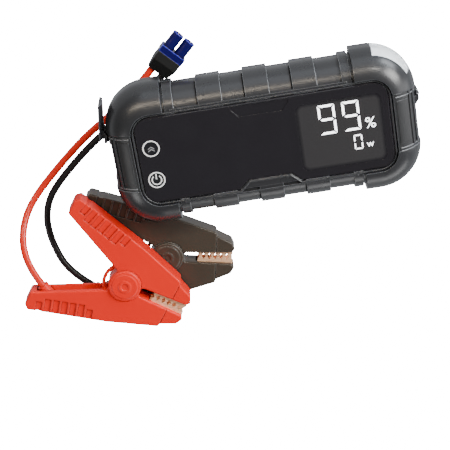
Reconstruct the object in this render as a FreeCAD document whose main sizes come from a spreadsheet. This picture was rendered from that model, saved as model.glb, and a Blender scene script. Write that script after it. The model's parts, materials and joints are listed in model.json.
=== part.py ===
import FreeCAD, Part
import math
import os
import re

import Sketcher

# Battery jump starter pack with its leads: a rugged power unit lying on its back,
# two crocodile clamps, two cords and the two-barrel plug that joins them.
# Millimetres. X runs along the unit, Y towards its lamp side, Z up.
# The origin is at the middle of the flat back that the unit rests on.

doc = FreeCAD.newDocument("JumpStarter")
sheet = doc.addObject("Spreadsheet::Sheet", "Sizes")

SIZES = {
    # power unit, overall
    "unit_length": 225.0,
    "unit_width": 107.0,
    "unit_top": 52.0,
    "unit_corner": 33.0,
    "mid_height": 26.5,
    "ring_bottom": 9.0,
    "top_round": 22.0,
    "low_round": 14.0,
    # rubber bumpers on the four corners
    "bumper_wall": 5.0,
    "bumper_rise": 3.5,
    "bumper_under": 1.5,
    "bumper_length": 44.0,
    "bumper_end": 21.5,
    "bumper_foot_gap": 3.0,
    "fit_gap": 0.1,
    "weld": 0.5,
    # raised blocks and end ribs along both long sides
    "block_pitch": 33.9,
    "block_length": 17.3,
    "block_proud": 1.8,
    "block_rise": 0.9,
    "rib_length": 6.6,
    "rib_gap": 1.8,
    # housing walls and the battery hump in the back
    "side_wall": 3.2,
    "step_inset": 11.0,
    "step_height": 34.0,
    "roof_wall": 4.0,
    "floor_wall": 2.4,
    "low_step_inset": 9.0,
    "low_step_height": 21.0,
    "hump_corner": 12.0,
    "hump_round": 2.5,
    "hump_wall": 2.5,
    "hump_room_x": 4.2,
    "hump_room_y": 1.2,
    # the seal between the two shells
    "seal_inset": 1.1,
    "seal_width": 1.1,
    "seal_depth": 0.8,
    # screws and the posts that they hold together
    "screw_radius": 1.2,
    "screw_fit": 0.05,
    "screw_bite": 5.0,
    "screw_bore_depth": 12.0,
    "shank_room": 0.4,
    "head_radius": 2.8,
    "head_height": 2.4,
    "head_room": 0.3,
    "head_sink": 3.5,
    "head_slot": 0.7,
    "head_slot_depth": 0.8,
    "post_inset": 8.0,
    "front_post": 4.0,
    "back_post": 4.6,
    # glossy face panel, its tab and its button holes
    "panel_inset_x": 21.25,
    "panel_inset_y": 21.0,
    "panel_corner": 12.0,
    "panel_proud": 1.6,
    "panel_thick": 3.0,
    "panel_chamfer": 1.0,
    "panel_gap": 2.4,
    "tab_base": 45.0,
    "tab_tip": 31.0,
    "tab_depth": 6.5,
    "tab_sink": 0.4,
    "tab_bevel": 0.5,
    "emboss_depth": 0.4,
    "emboss_reach": 10.0,
    "emboss_edge": 0.8,
    "emboss_corner": 1.5,
    # display
    "window_inset": 5.95,
    "window_length": 60.6,
    "window_foot": 6.7,
    "window_head": 8.3,
    "window_corner": 4.0,
    "window_thick": 1.2,
    "window_ledge": 3.0,
    "digit_height": 22.8,
    "digit_width": 12.8,
    "digit_bar": 2.4,
    "digit_pitch": 17.2,
    "digit_inset": 15.0,
    "digit_rise": 25.0,
    "digit_gap": 0.35,
    "digit_thick": 0.15,
    "small_digit_height": 11.4,
    "small_digit_width": 6.4,
    "small_digit_bar": 1.3,
    "small_digit_inset": 38.2,
    "small_digit_rise": 10.4,
    "module_gap": 0.2,
    "module_depth": 2.0,
    "display_board_edge": 1.0,
    # buttons and their switches
    "button_inset": 10.25,
    "boost_y": 9.4,
    "power_y": -14.7,
    "button_radius": 6.3,
    "button_cap": 2.4,
    "flange_radius": 7.6,
    "flange_thick": 1.2,
    "stem_radius": 2.0,
    "stem_length": 3.0,
    "button_travel": 0.6,
    "switch_gap": 0.2,
    "switch_half": 3.0,
    "switch_height": 3.4,
    "plunger_radius": 1.7,
    "plunger_height": 0.8,
    "button_board_margin": 8.0,
    "slide_gap": 0.1,
    "run_gap": 0.3,
    # lamp in the right-hand corner
    "lamp_from": 24.0,
    "lamp_to": 82.0,
    "lamp_low": 15.0,
    "lamp_high": 42.0,
    "lens_wall": 2.3,
    "reflector_wall": 1.0,
    "chip_size": 3.0,
    "chip_thick": 0.9,
    "chip_gap": 0.2,
    "chip_turn": 16.0,
    "lead_slot_from": 8.0,
    "lead_slot_length": 6.0,
    "lead_slot_reach": 28.0,
    "lead_slot_height": 3.0,
    # end trims with their hinged rubber flaps
    "trim_inset": 0.8,
    "trim_reach": 18.5,
    "knuckle_radius": 1.3,
    "knuckle_low": 18.0,
    "knuckle_high": 35.0,
    "lug_low": 22.0,
    "lug_high": 31.0,
    "hinge_pin_radius": 0.7,
    "bay_high": 13.0,
    "jump_bay_low": -14.0,
    "usb_bay_low": -20.0,
    "bay_bottom": 15.6,
    "bay_top": 39.6,
    "flap_thick": 2.8,
    "flap_gap": 0.4,
    "flap_open": 188.0,
    "strap_out": 0.7,
    "strap_neck": 4.5,
    "strap_end": 8.0,
    "strap_thick": 1.2,
    # sockets behind the flaps
    "port_set_back": 0.2,
    "port_overlap": 1.0,
    "socket_depth": 16.0,
    "socket_floor": 2.5,
    "socket_y": 2.0,
    "socket_width": 21.0,
    "socket_height": 14.0,
    "socket_bore": 4.55,
    "socket_pin": 1.9,
    "socket_pin_set": 2.0,
    "port_low": -17.0,
    "port_high": 11.0,
    "port_height": 8.6,
    "usb_a_y": -8.5,
    "usb_a_width": 13.2,
    "usb_a_height": 5.7,
    "usb_c_y": 5.2,
    "usb_c_width": 9.0,
    "usb_c_height": 3.3,
    "usb_wall": 0.4,
    "usb_floor": 0.7,
    # cells, bars and boards
    "cell_length": 132.0,
    "cell_width": 44.0,
    "cell_thick": 6.6,
    "cell_pitch": 7.0,
    "cell_bottom": 3.6,
    "cell_corner": 3.0,
    "cell_round": 1.5,
    "cradle_wall": 2.0,
    "cradle_floor": 0.7,
    "bar_width": 6.0,
    "bar_thick": 1.2,
    "bar_set_back": 2.6,
    "bar_end": 4.0,
    "board_thick": 1.6,
    "board_level": 29.0,
    "board_length": 150.0,
    "board_width": 62.0,
    "foot_radius": 2.4,
    "foot_inset": 6.0,
    "chip_row": 11.0,
    "chip_pitch": 17.0,
    "chip_length": 10.0,
    "chip_height": 2.3,
    "chip_margin": 7.0,
    "coil_row": 25.0,
    "coil_pitch": 20.0,
    "coil_radius": 6.5,
    "coil_height": 7.0,
    "coil_y": 14.0,
    "controller_x": 2.0,
    "controller_side": 14.0,
    "controller_height": 1.4,
    # plug and cords
    "barrel_radius": 4.3,
    "barrel_length": 12.5,
    "barrel_pitch": 9.8,
    "contact_radius": 2.7,
    "contact_wall": 0.6,
    "contact_root": 5.0,
    "contact_recess": 1.0,
    "plug_width": 20.0,
    "plug_height": 11.6,
    "plug_base": 5.0,
    "boot_length": 15.0,
    "boot_shoulder": 6.75,
    "boot_inset": 0.3,
    "boot_end_width": 16.5,
    "boot_end_height": 8.0,
    "cord_diameter": 5.5,
    "cord_pitch": 9.0,
    # clamps, local u along the jaws, v towards the lever half
    "jaw_reach": 51.5,
    "jaw_nose_low": 4.8,
    "jaw_nose_high": 12.8,
    "nose_step": 2.6,
    "shoulder_reach": 37.0,
    "shoulder_out": 20.8,
    "back_out": 34.0,
    "handle_reach": 62.0,
    "handle_out": 50.0,
    "handle_in": 35.5,
    "handle_tip": 3.5,
    "throat_start": 11.5,
    "throat_half": 3.8,
    "half_gap": 1.2,
    "heel": 11.0,
    "heel_in": 9.3,
    "heel_gap": 8.0,
    "half_corner": 1.5,
    "half_rim": 1.2,
    "hub_radius": 12.5,
    "hub_half": 10.5,
    "clamp_half": 7.5,
    "cheek_in": 4.5,
    "spring_room": 2.6,
    "spring_radius": 6.3,
    "spring_gap": 0.4,
    "pin_radius": 3.0,
    "pin_gap": 0.06,
    "pin_set_back": 1.6,
    "web": 4.0,
    "strip_start": 23.2,
    "strip_gap": 0.2,
    "strip_step": 1.4,
    "tooth_pitch": 4.45,
    "tooth_depth": 2.4,
    "jaw_strip": 5.0,
    "seam_width": 0.5,
    "seam_sink": 0.5,
    "grip_start": 11.6,
    "grip_pitch": 6.4,
    "grip_width": 4.9,
    "grip_depth": 0.9,
    "grip_reach": 11.5,
    "grip_taper": 3.2,
    "scallop_depth": 0.8,
    "scallop_radius": 4.2,
    "link_offset": 3.6,
    "link_radius": 1.4,
    "link_start": 122.0,
    "link_sweep": 98.0,
    "base_lead_start": 181.0,
    "base_lead_sweep": 78.0,
    "lever_lead_start": 119.0,
    "lever_lead_sweep": 60.0,
    "gland_radius": 4.3,
    "gland_length": 3.2,
    "gland_root": 9.0,
    "gland_turn": 150.0,
    "gland_inset": 9.5,
    "gland_sink": 4.6,
    # hub caps
    "cap_edge": 0.2,
    "cap_rim": 1.2,
    "cap_top": 2.0,
    "cap_round": 1.0,
    "cap_band": 2.2,
    "cap_slope": 3.2,
    "cap_dish": 0.4,
    "cap_boss": 5.2,
    "cap_boss_top": 4.6,
    "cap_well": 0.7,
    "cap_well_radius": 2.4,
    # where the clamps and the plug lie beside the unit
    "black_aside": 25.5,
    "black_below": 36.5,
    "black_turn": -11.0,
    "red_aside": -8.5,
    "red_below": 46.5,
    "red_turn": -35.0,
    "stack_gap": 0.3,
    "plug_aside": 66.5,
    "plug_beyond": 20.5,
    "plug_turn": 43.0,
}

# Places and sizes that follow from the sheet's.
FOLLOWING = {
    "panel_length": "unit_length - 2 * panel_inset_x",
    "panel_width": "unit_width - 2 * panel_inset_y",
    "panel_top": "unit_top - bumper_rise + panel_proud",
    "bumper_start": "unit_length / 2 - bumper_length",
    "rib_centre": "bumper_start - rib_gap - rib_length / 2",
    "trim_from": "unit_length / 2 - trim_reach",
    "hump_length": "cell_length + 2 * (cradle_wall + run_gap + hump_wall + hump_room_x)",
    "hump_width": "cell_width + 2 * (cradle_wall + run_gap + hump_wall + hump_room_y)",
    "screw_x": "unit_length / 2 - bumper_wall - low_step_inset - post_inset",
    "screw_y": "unit_width / 2 - bumper_wall - low_step_inset - post_inset",
    "window_right": "panel_length / 2 - window_inset",
    "window_left": "window_right - window_length",
    "window_low": "window_foot - panel_width / 2",
    "window_high": "panel_width / 2 - window_head",
    "digit_left": "window_left + digit_inset",
    "digit_base": "window_low + digit_rise",
    "small_digit_left": "window_left + small_digit_inset",
    "small_digit_base": "window_low + small_digit_rise",
    "button_x": "button_inset - panel_length / 2",
    "stem_low": "panel_top - button_cap - run_gap - flange_thick - stem_length",
    "switch_top": "stem_low - button_travel - switch_gap",
    "lamp_middle": "(lamp_to + lamp_from) / 2",
    "chip_reach": "unit_corner - fit_gap - bumper_wall + reflector_wall + chip_gap",
    "hinge_x": "unit_length / 2 - trim_inset + knuckle_radius + flap_gap",
    "hinge_y": "bay_high + knuckle_radius + flap_gap",
    "stack_top": "cell_bottom + 2 * cell_pitch + cell_thick",
    "board_top": "board_level + board_thick",
    "gland_u": "gland_inset - handle_reach",
    "gland_v": "gland_sink - handle_in",
    "link_ring": "hub_radius + link_offset",
    "black_x": "black_aside - unit_length / 2",
    "black_y": "-unit_width / 2 - black_below",
    "black_z": "hub_half",
    "red_x": "red_aside - unit_length / 2",
    "red_y": "-unit_width / 2 - red_below",
    "red_z": "2 * hub_half + clamp_half + stack_gap",
    "plug_x": "plug_aside - unit_length / 2",
    "plug_y": "unit_width / 2 + plug_beyond",
}

for row, (alias, value) in enumerate(SIZES.items(), start=1):
    sheet.set("A%d" % row, alias.replace("_", " "))
    sheet.set("B%d" % row, repr(value))
    sheet.setAlias("B%d" % row, alias)
doc.recompute()


def size(alias):
    return float(getattr(sheet, alias))


def ex(text):
    """An expression in which each named size points at its cell."""
    def spell(word):
        name = word.group(0)
        if name in FOLLOWING:
            return "(%s)" % ex(FOLLOWING[name])
        return "Sizes." + name if name in SIZES else name

    return re.sub(r"[a-z][a-z0-9_]*", spell, text)


def bind(thing, **settings):
    for prop, text in settings.items():
        thing.setExpression(prop, ex(str(text)))


def move(thing, x=None, y=None, z=None, turn=None):
    for axis, text in (("x", x), ("y", y), ("z", z)):
        if text is not None:
            thing.setExpression("Placement.Base." + axis, ex(str(text)))
    if turn is not None:
        thing.setExpression("Placement.Rotation.Angle", ex(str(turn)))
    return thing


def plane_of(body, role):
    for feature in body.Origin.OriginFeatures:
        if feature.Role == role:
            return feature
    raise RuntimeError("no plane " + role)


def sketch_on(body, name, role):
    """An empty sketch on one of the body's own origin planes."""
    sketch = body.newObject("Sketcher::SketchObject", name)
    sketch.AttachmentSupport = [(plane_of(body, role), "")]
    sketch.MapMode = "FlatFace"
    return sketch


def draw_outline(sketch, corners, middle=0.0, radius=20.0):
    """A closed outline, drawn as a regular ring whose corners are then tied to expressions."""
    count = len(corners)
    ring = []
    for index in range(count):
        angle = 2 * math.pi * index / count
        ring.append(FreeCAD.Vector(middle + radius * math.cos(angle), radius * math.sin(angle), 0))
    for index in range(count):
        sketch.addGeometry(Part.LineSegment(ring[index], ring[(index + 1) % count]), False)
    for index in range(count):
        sketch.addConstraint(Sketcher.Constraint("Coincident", index, 2, (index + 1) % count, 1))
    for index, (across, along) in enumerate(corners):
        for kind, text, start in (("DistanceX", across, ring[index].x), ("DistanceY", along, ring[index].y)):
            number = sketch.addConstraint(Sketcher.Constraint(kind, -1, 1, index, 1, start))
            sketch.setExpression("Constraints[%d]" % number, ex(str(text)))


def polygon_sketch(body, name, corners):
    """A closed outline on the XY plane whose corners are pairs of expressions."""
    sketch = sketch_on(body, name, "XY_Plane")
    draw_outline(sketch, corners)
    return sketch


def upright(edge):
    bounds = edge.BoundBox
    return bounds.XLength < TOUCHING and bounds.YLength < TOUCHING


def at_height(edge, height):
    bounds = edge.BoundBox
    return bounds.ZLength < TOUCHING and abs(bounds.ZMin - height) < TOUCHING


def edge_names(feature, test):
    return ["Edge%d" % (index + 1) for index, edge in enumerate(feature.Shape.Edges) if test(edge)]


def prism(name, corners, height, corner=None, top=None, low=None, bevel=None):
    """A padded outline, its upright corners and its rims rounded."""
    body = doc.addObject("PartDesign::Body", name)
    sketch = polygon_sketch(body, name + "_outline", corners)
    pad = body.newObject("PartDesign::Pad", name + "_pad")
    pad.Profile = sketch
    bind(pad, Length=height)
    doc.recompute()
    last = pad
    if corner:
        rounding = body.newObject("PartDesign::Fillet", name + "_corners")
        rounding.Base = (last, edge_names(last, upright))
        bind(rounding, Radius=corner)
        doc.recompute()
        last = rounding
    for suffix, radius, at_top in (("_top", top, True), ("_low", low, False)):
        if radius:
            box = last.Shape.BoundBox
            level = box.ZMax if at_top else box.ZMin
            rounding = body.newObject("PartDesign::Fillet", name + suffix)
            rounding.Base = (last, edge_names(last, lambda edge: at_height(edge, level)))
            bind(rounding, Radius=radius)
            doc.recompute()
            last = rounding
    if bevel:
        level = last.Shape.BoundBox.ZMax
        cut_edge = body.newObject("PartDesign::Chamfer", name + "_bevel")
        cut_edge.Base = (last, edge_names(last, lambda edge: at_height(edge, level)))
        bind(cut_edge, Size=bevel)
        doc.recompute()
        last = cut_edge
    body.Tip = last
    return body


def rectangle(length, width):
    half_x = "(%s) / 2" % length
    half_y = "(%s) / 2" % width
    minus_x = "-(%s) / 2" % length
    minus_y = "-(%s) / 2" % width
    return [(minus_x, minus_y), (half_x, minus_y), (half_x, half_y), (minus_x, half_y)]


def slab(name, length, width, corner, low, high, top=None, bottom=None):
    body = prism(name, rectangle(length, width), "(%s) - (%s)" % (high, low), corner, top, bottom)
    return move(body, z=low)


def box(name, x0, x1, y0, y1, z0, z1):
    thing = doc.addObject("Part::Box", name)
    bind(thing, Length="(%s) - (%s)" % (x1, x0), Width="(%s) - (%s)" % (y1, y0))
    bind(thing, Height="(%s) - (%s)" % (z1, z0))
    return move(thing, x0, y0, z0)


def cylinder(name, radius, height, x=0, y=0, z=0, rotation=None):
    thing = doc.addObject("Part::Cylinder", name)
    bind(thing, Radius=radius, Height=height)
    if rotation:
        thing.Placement = FreeCAD.Placement(FreeCAD.Vector(), rotation)
    return move(thing, x, y, z)


def fuse(name, parts):
    thing = doc.addObject("Part::MultiFuse", name)
    thing.Shapes = parts
    thing.Refine = True
    return thing


def cut(name, base, tools):
    thing = doc.addObject("Part::Cut", name)
    thing.Base = base
    thing.Tool = tools[0] if len(tools) == 1 else fuse(name + "_tools", tools)
    thing.Refine = True
    return thing


def common(name, first, second):
    thing = doc.addObject("Part::Common", name)
    thing.Base = first
    thing.Tool = second
    thing.Refine = True
    return thing


def group(name, parts):
    """Several separate solids that share one name."""
    thing = doc.addObject("Part::Compound", name)
    thing.Links = parts
    return thing


NODES = []


def node(name, thing):
    thing.Label = name
    NODES.append(thing)
    return thing


ALONG_X = FreeCAD.Rotation(FreeCAD.Vector(0, 1, 0), 90)
FAR = 200
TOUCHING = 1e-4
FOUR_CORNERS = [(sx, sy) for sx in (-1, 1) for sy in (-1, 1)]
BUTTONS = [("boost", "boost_y"), ("power", "power_y")]
TOOTH_COUNT = 6
GRIP_COUNT = 7

# Expressions that several pieces share.
CORE_TOP = "unit_top - bumper_rise"
CORE_BOTTOM = "ring_bottom + bumper_under"
CORE_LENGTH = "unit_length - 2 * bumper_wall"
CORE_WIDTH = "unit_width - 2 * bumper_wall"
CORE_CORNER = "unit_corner - bumper_wall"
PANEL_FLOOR = "panel_top - panel_thick"
ROOF = "unit_top - bumper_rise - roof_wall"
FLOOR = "ring_bottom + bumper_under + floor_wall"
END_X = "unit_length / 2"
CORE_END = "unit_length / 2 - bumper_wall"


def ring_slab(name, grow, rise, under, upper):
    """Half of the unit's outline, grown past the core by the sizes given."""
    length = "(%s) + 2 * (%s)" % (CORE_LENGTH, grow)
    width = "(%s) + 2 * (%s)" % (CORE_WIDTH, grow)
    corner = "(%s) + (%s)" % (CORE_CORNER, grow)
    if upper:
        radius = "top_round - bumper_rise + (%s)" % rise
        return slab(name, length, width, corner, "mid_height", "(%s) + (%s)" % (CORE_TOP, rise), top=radius)
    radius = "low_round - bumper_under + (%s)" % under
    return slab(name, length, width, corner, "(%s) - (%s)" % (CORE_BOTTOM, under), "mid_height",
                bottom=radius)


def whole_ring(name, grow, rise, under):
    upper = ring_slab(name + "_upper", grow, rise, under, True)
    lower = ring_slab(name + "_lower", grow, rise, under, False)
    return fuse(name, [upper, lower])


def side_blocks(name, upper):
    """The raised blocks and end ribs, cut from a slightly larger outline."""
    band = ring_slab(name + "_band", "block_proud", "block_rise", "block_rise", upper)
    places = [("block_%d" % (index + 1), "%d * block_pitch" % index, "block_length") for index in (-1, 0, 1)]
    places += [("rib_%d" % (side + 1), "%d * rib_centre" % side, "rib_length") for side in (-1, 1)]
    strips = []
    for tag, centre, length in places:
        strips.append(box("%s_%s" % (name, tag), "%s - %s / 2" % (centre, length),
                          "%s + %s / 2" % (centre, length), -FAR, FAR, 0, FAR))
    return common(name, band, fuse(name + "_strips", strips))


def panel_outline(grow="0"):
    """The face panel's outline, with the notch for the housing's tab."""
    x = "(panel_length / 2 + %s)" % grow
    y = "(panel_width / 2 + %s)" % grow
    wide = "(tab_base / 2 - %s)" % grow
    narrow = "(tab_tip / 2 - %s)" % grow
    notch = "-(panel_width / 2 - tab_depth + %s)" % grow
    return [
        ("-" + x, "-" + y), ("-" + wide, "-" + y), ("-" + narrow, notch), (narrow, notch),
        (wide, "-" + y), (x, "-" + y), (x, y), ("-" + x, y),
    ]


def at_screws(name, radius, height, level):
    """Four upright cylinders, one on each screw's axis."""
    posts = []
    for index, (sx, sy) in enumerate(FOUR_CORNERS):
        posts.append(cylinder("%s_%d" % (name, index), radius, height, "%d * screw_x" % sx,
                              "%d * screw_y" % sy, level))
    return posts


def at_buttons(name, radius, height, level):
    """Two upright cylinders, one on each button's axis."""
    return [cylinder("%s_%s" % (name, word), radius, height, "button_x", y, level) for word, y in BUTTONS]


def window_view(name, room, low, high):
    """A box over the display's clear part, grown by the room given."""
    edge = "window_ledge - (%s)" % room
    return box(name, "window_left + " + edge, "window_right - (%s)" % edge, "window_low + " + edge,
               "window_high - (%s)" % edge, low, high)


def make_front_shell():
    core = ring_slab("front_core", "0", "0", "0", True)
    blocks = side_blocks("front_blocks", True)
    tab = prism("front_tab", [
        ("-tab_base / 2", "-panel_width / 2"), ("tab_base / 2", "-panel_width / 2"),
        ("tab_tip / 2", "-panel_width / 2 + tab_depth"), ("-tab_tip / 2", "-panel_width / 2 + tab_depth"),
    ], "panel_thick - tab_sink", bevel="tab_bevel")
    move(tab, z=PANEL_FLOOR)
    outer = fuse("front_outer", [core, blocks])
    recess = prism("front_recess", panel_outline("fit_gap"), FAR)
    move(recess, z=PANEL_FLOOR)
    wide = slab("front_cavity_wide", CORE_LENGTH + " - 2 * side_wall", CORE_WIDTH + " - 2 * side_wall",
                CORE_CORNER + " - side_wall", "mid_height", "step_height")
    tall = slab("front_cavity_tall", CORE_LENGTH + " - 2 * step_inset", CORE_WIDTH + " - 2 * step_inset",
                CORE_CORNER + " - step_inset", "mid_height", ROOF)
    view = window_view("front_view", "0", ROOF + " - 1", "panel_top + 1")
    holes = at_buttons("front_hole", "flange_radius + run_gap", FAR, ROOF + " - 1")
    hollow = cut("front_hollow", outer, [recess, wide, tall, view] + holes)
    posts = at_screws("front_post", "front_post", "(%s) - mid_height + weld" % ROOF, "mid_height")
    solid = fuse("front_posts", [hollow, tab] + posts)
    bores = at_screws("front_bore", "screw_radius + screw_fit", "screw_bore_depth", "mid_height")
    groove = seal_ring("front_groove", "seal_inset", "seal_width", "seal_depth")
    tools = bores + end_openings("front") + lamp_lead_slot("front") + [groove]
    return node("front_shell", cut("front_shell_solid", solid, tools))


def end_openings(name):
    """Ports through the end walls, shared by both shells at their joint."""
    ports = box(name + "_usb_gap", CORE_END + " - step_inset - port_overlap", END_X, "port_low", "port_high",
                "mid_height - port_height / 2", "mid_height + port_height / 2")
    socket = box(name + "_socket_gap", "-(%s)" % END_X, "-(%s) + step_inset + port_overlap" % CORE_END,
                 "socket_y - socket_width / 2", "socket_y + socket_width / 2",
                 "mid_height - socket_height / 2", "mid_height + socket_height / 2")
    return [ports, socket]


def seal_ring(name, inset, width, half):
    """A band just inside the housing wall, across the joint of the two shells."""
    low = "mid_height - (%s)" % half
    high = "mid_height + (%s)" % half
    outer = slab(name + "_outer", CORE_LENGTH + " - 2 * (%s)" % inset, CORE_WIDTH + " - 2 * (%s)" % inset,
                 CORE_CORNER + " - (%s)" % inset, low, high)
    depth = "(%s) + (%s)" % (inset, width)
    inner = slab(name + "_inner", CORE_LENGTH + " - 2 * (%s)" % depth, CORE_WIDTH + " - 2 * (%s)" % depth,
                 CORE_CORNER + " - (%s)" % depth, low + " - 1", high + " + 1")
    return cut(name, outer, [inner])


def make_seal():
    ring = seal_ring("seal_ring", "seal_inset + fit_gap", "seal_width - 2 * fit_gap", "seal_depth - fit_gap")
    gaps = end_openings("seal") + lamp_lead_slot("seal")
    node("seal_gasket", cut("seal_solid", ring, gaps))


def make_screws():
    seat = CORE_BOTTOM + " + head_sink"
    heads = at_screws("screw_head", "head_radius", "head_height", seat)
    shanks = at_screws("screw_shank", "screw_radius", "mid_height + screw_bite - (%s)" % seat, seat)
    screws = []
    for index, (sx, sy) in enumerate(FOUR_CORNERS):
        x = "%d * screw_x" % sx
        y = "%d * screw_y" % sy
        slot = box("screw_slot_%d" % index, x + " - head_radius", x + " + head_radius",
                   y + " - head_slot / 2", y + " + head_slot / 2", seat + " - 1",
                   seat + " + head_slot_depth")
        blank = fuse("screw_blank_%d" % index, [heads[index], shanks[index]])
        screws.append(cut("screw_%d" % index, blank, [slot]))
    node("case_screws", group("case_screws_group", screws))


def lamp_lead_slot(name):
    """A slot through both shells for the lamp's leads."""
    start = "unit_length / 2 - unit_corner + lead_slot_from"
    return [box(name + "_lamp_wire", start, start + " + lead_slot_length",
                "unit_width / 2 - lead_slot_reach", "unit_width / 2", "mid_height - lead_slot_height / 2",
                "mid_height + lead_slot_height / 2")]


def make_back_shell():
    core = ring_slab("back_core", "0", "0", "0", False)
    blocks = side_blocks("back_blocks", False)
    hump = slab("back_hump", "hump_length", "hump_width", "hump_corner", "0", CORE_BOTTOM + " + 1",
                bottom="hump_round")
    outer = fuse("back_outer", [core, blocks, hump])
    wide = slab("back_cavity_wide", CORE_LENGTH + " - 2 * side_wall", CORE_WIDTH + " - 2 * side_wall",
                CORE_CORNER + " - side_wall", "low_step_height", "mid_height")
    deep = slab("back_cavity_deep", CORE_LENGTH + " - 2 * low_step_inset",
                CORE_WIDTH + " - 2 * low_step_inset", CORE_CORNER + " - low_step_inset", FLOOR, "mid_height")
    well = slab("back_well", "hump_length - 2 * hump_wall", "hump_width - 2 * hump_wall",
                "hump_corner - hump_wall", "hump_wall", "mid_height")
    hollow = cut("back_hollow", outer, [wide, deep, well])
    posts = at_screws("back_post", "back_post", "mid_height + weld - (%s)" % FLOOR, FLOOR + " - weld")
    solid = fuse("back_posts", [hollow] + posts)
    bores = at_screws("back_bore", "screw_radius + shank_room", FAR, 0)
    sinks = at_screws("back_head", "head_radius + head_room",
                      CORE_BOTTOM + " + head_sink + head_height + fit_gap", 0)
    groove = seal_ring("back_groove", "seal_inset", "seal_width", "seal_depth")
    tools = bores + sinks + end_openings("back") + lamp_lead_slot("back") + [groove]
    return node("back_shell", cut("back_shell_solid", solid, tools))


def make_bumpers():
    """Four soft corners: the bumper outline less the core and the panel's gap."""
    for name, sx, sy in (("bumper_top_left", -1, 1), ("bumper_bottom_left", -1, -1),
                         ("bumper_top_right", 1, 1), ("bumper_bottom_right", 1, -1)):
        outer = whole_ring(name + "_outer", "bumper_wall", "bumper_rise", "bumper_under")
        inner = whole_ring(name + "_inner", "fit_gap", "fit_gap", "fit_gap")
        hump = slab(name + "_hump", "hump_length + 2 * bumper_foot_gap", "hump_width + 2 * bumper_foot_gap",
                    "hump_corner", "0", "mid_height")
        x0, x1 = mirrored(sx, -FAR, "-bumper_start")
        y0, y1 = mirrored(sy, -FAR, "-bumper_end")
        corner = box(name + "_corner", x0, x1, y0, y1, 0, FAR)
        tools = [inner, hump, panel_room(name + "_face")]
        if name == "bumper_top_right":
            tools.append(lamp_wedge(name + "_lamp", "fit_gap"))
        ring = common(name + "_ring", outer, corner)
        node(name, cut(name + "_solid", ring, tools))


def panel_room(name):
    """The room round the panel that the bumpers and trims keep clear of."""
    return slab(name, "panel_length + 2 * panel_gap", "panel_width + 2 * panel_gap",
                "panel_corner + panel_gap", "mid_height", FAR)


def lamp_wedge(name, grow):
    """The sector of the corner that the lamp lens takes up."""
    side = "2 * unit_corner"
    span = "(lamp_to - lamp_from) / 2"
    reach = "%s * cos(%s)" % (side, span)
    rise = "%s * sin(%s)" % (side, span)
    sector = prism(name, [("0", "0"), (reach, "-" + rise), (side, "0"), (reach, rise)],
                   "lamp_high - lamp_low + 2 * %s" % grow)
    return move(sector, "unit_length / 2 - unit_corner", "unit_width / 2 - unit_corner",
                "lamp_low - %s" % grow, "lamp_middle")


def lamp_layer(name, outer_inset, inner_inset):
    """A curved sheet between two offsets of the bumper outline, inside the sector."""
    outer_grow = "(bumper_wall - %s)" % outer_inset
    inner_grow = "(bumper_wall - %s)" % inner_inset
    outer = whole_ring(name + "_outer", outer_grow, "bumper_rise", "bumper_under")
    inner = whole_ring(name + "_inner", inner_grow, "bumper_rise", "bumper_under")
    sheet_part = cut(name + "_sheet", outer, [inner])
    return common(name + "_solid", sheet_part, lamp_wedge(name + "_sector", "0"))


def make_lamp():
    node("lamp_lens", lamp_layer("lamp_lens", "fit_gap", "(fit_gap + lens_wall)"))
    back = "(bumper_wall - fit_gap)"
    node("lamp_reflector", lamp_layer("lamp_reflector", "(%s - reflector_wall)" % back, back))
    chips = []
    for index in (-1, 0, 1):
        chip = doc.addObject("Part::Box", "lamp_chip_%d" % (index + 1))
        bind(chip, Length="chip_thick", Width="chip_size", Height="chip_size")
        angle = "(lamp_middle + %d * chip_turn)" % index
        ahead = "cos(%s)" % angle
        aside = "sin(%s)" % angle
        move(chip, "unit_length / 2 - unit_corner + chip_reach * %s + chip_size / 2 * %s" % (ahead, aside),
             "unit_width / 2 - unit_corner + chip_reach * %s - chip_size / 2 * %s" % (aside, ahead),
             "mid_height - chip_size / 2", angle)
        chips.append(chip)
    node("lamp_leds", group("lamp_leds_group", chips))


def make_panel():
    plate = prism("panel_plate", panel_outline(), "panel_thick", bevel="panel_chamfer")
    move(plate, z=PANEL_FLOOR)
    frame = slab("panel_rounded", "panel_length", "panel_width", "panel_corner", PANEL_FLOOR + " - 1",
                 "panel_top + 1")
    rounded = common("panel_blank", plate, frame)
    pane = slab("panel_window_seat", "window_right - window_left + 2 * fit_gap",
                "window_high - window_low + 2 * fit_gap", "window_corner", "panel_top - window_thick",
                "panel_top + 1")
    move(pane, "(window_left + window_right) / 2", "(window_low + window_high) / 2")
    view = window_view("panel_view", "0", PANEL_FLOOR + " - 1", "panel_top")
    edge = "panel_width / 2 - panel_chamfer - emboss_edge"
    emboss = prism("panel_emboss", [
        ("-tab_base / 2", edge), ("-tab_tip / 2", "panel_width / 2 - emboss_reach"),
        ("tab_tip / 2", "panel_width / 2 - emboss_reach"), ("tab_base / 2", edge),
    ], "emboss_depth + 1", corner="emboss_corner")
    move(emboss, z="panel_top - emboss_depth")
    holes = at_buttons("panel_hole", "button_radius + slide_gap", FAR, PANEL_FLOOR + " - 1")
    seats = at_buttons("panel_seat", "flange_radius + run_gap", "panel_thick",
                       "panel_top - button_cap - panel_thick")
    return node("face_panel", cut("face_panel_solid", rounded, [pane, view, emboss] + holes + seats))


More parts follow.
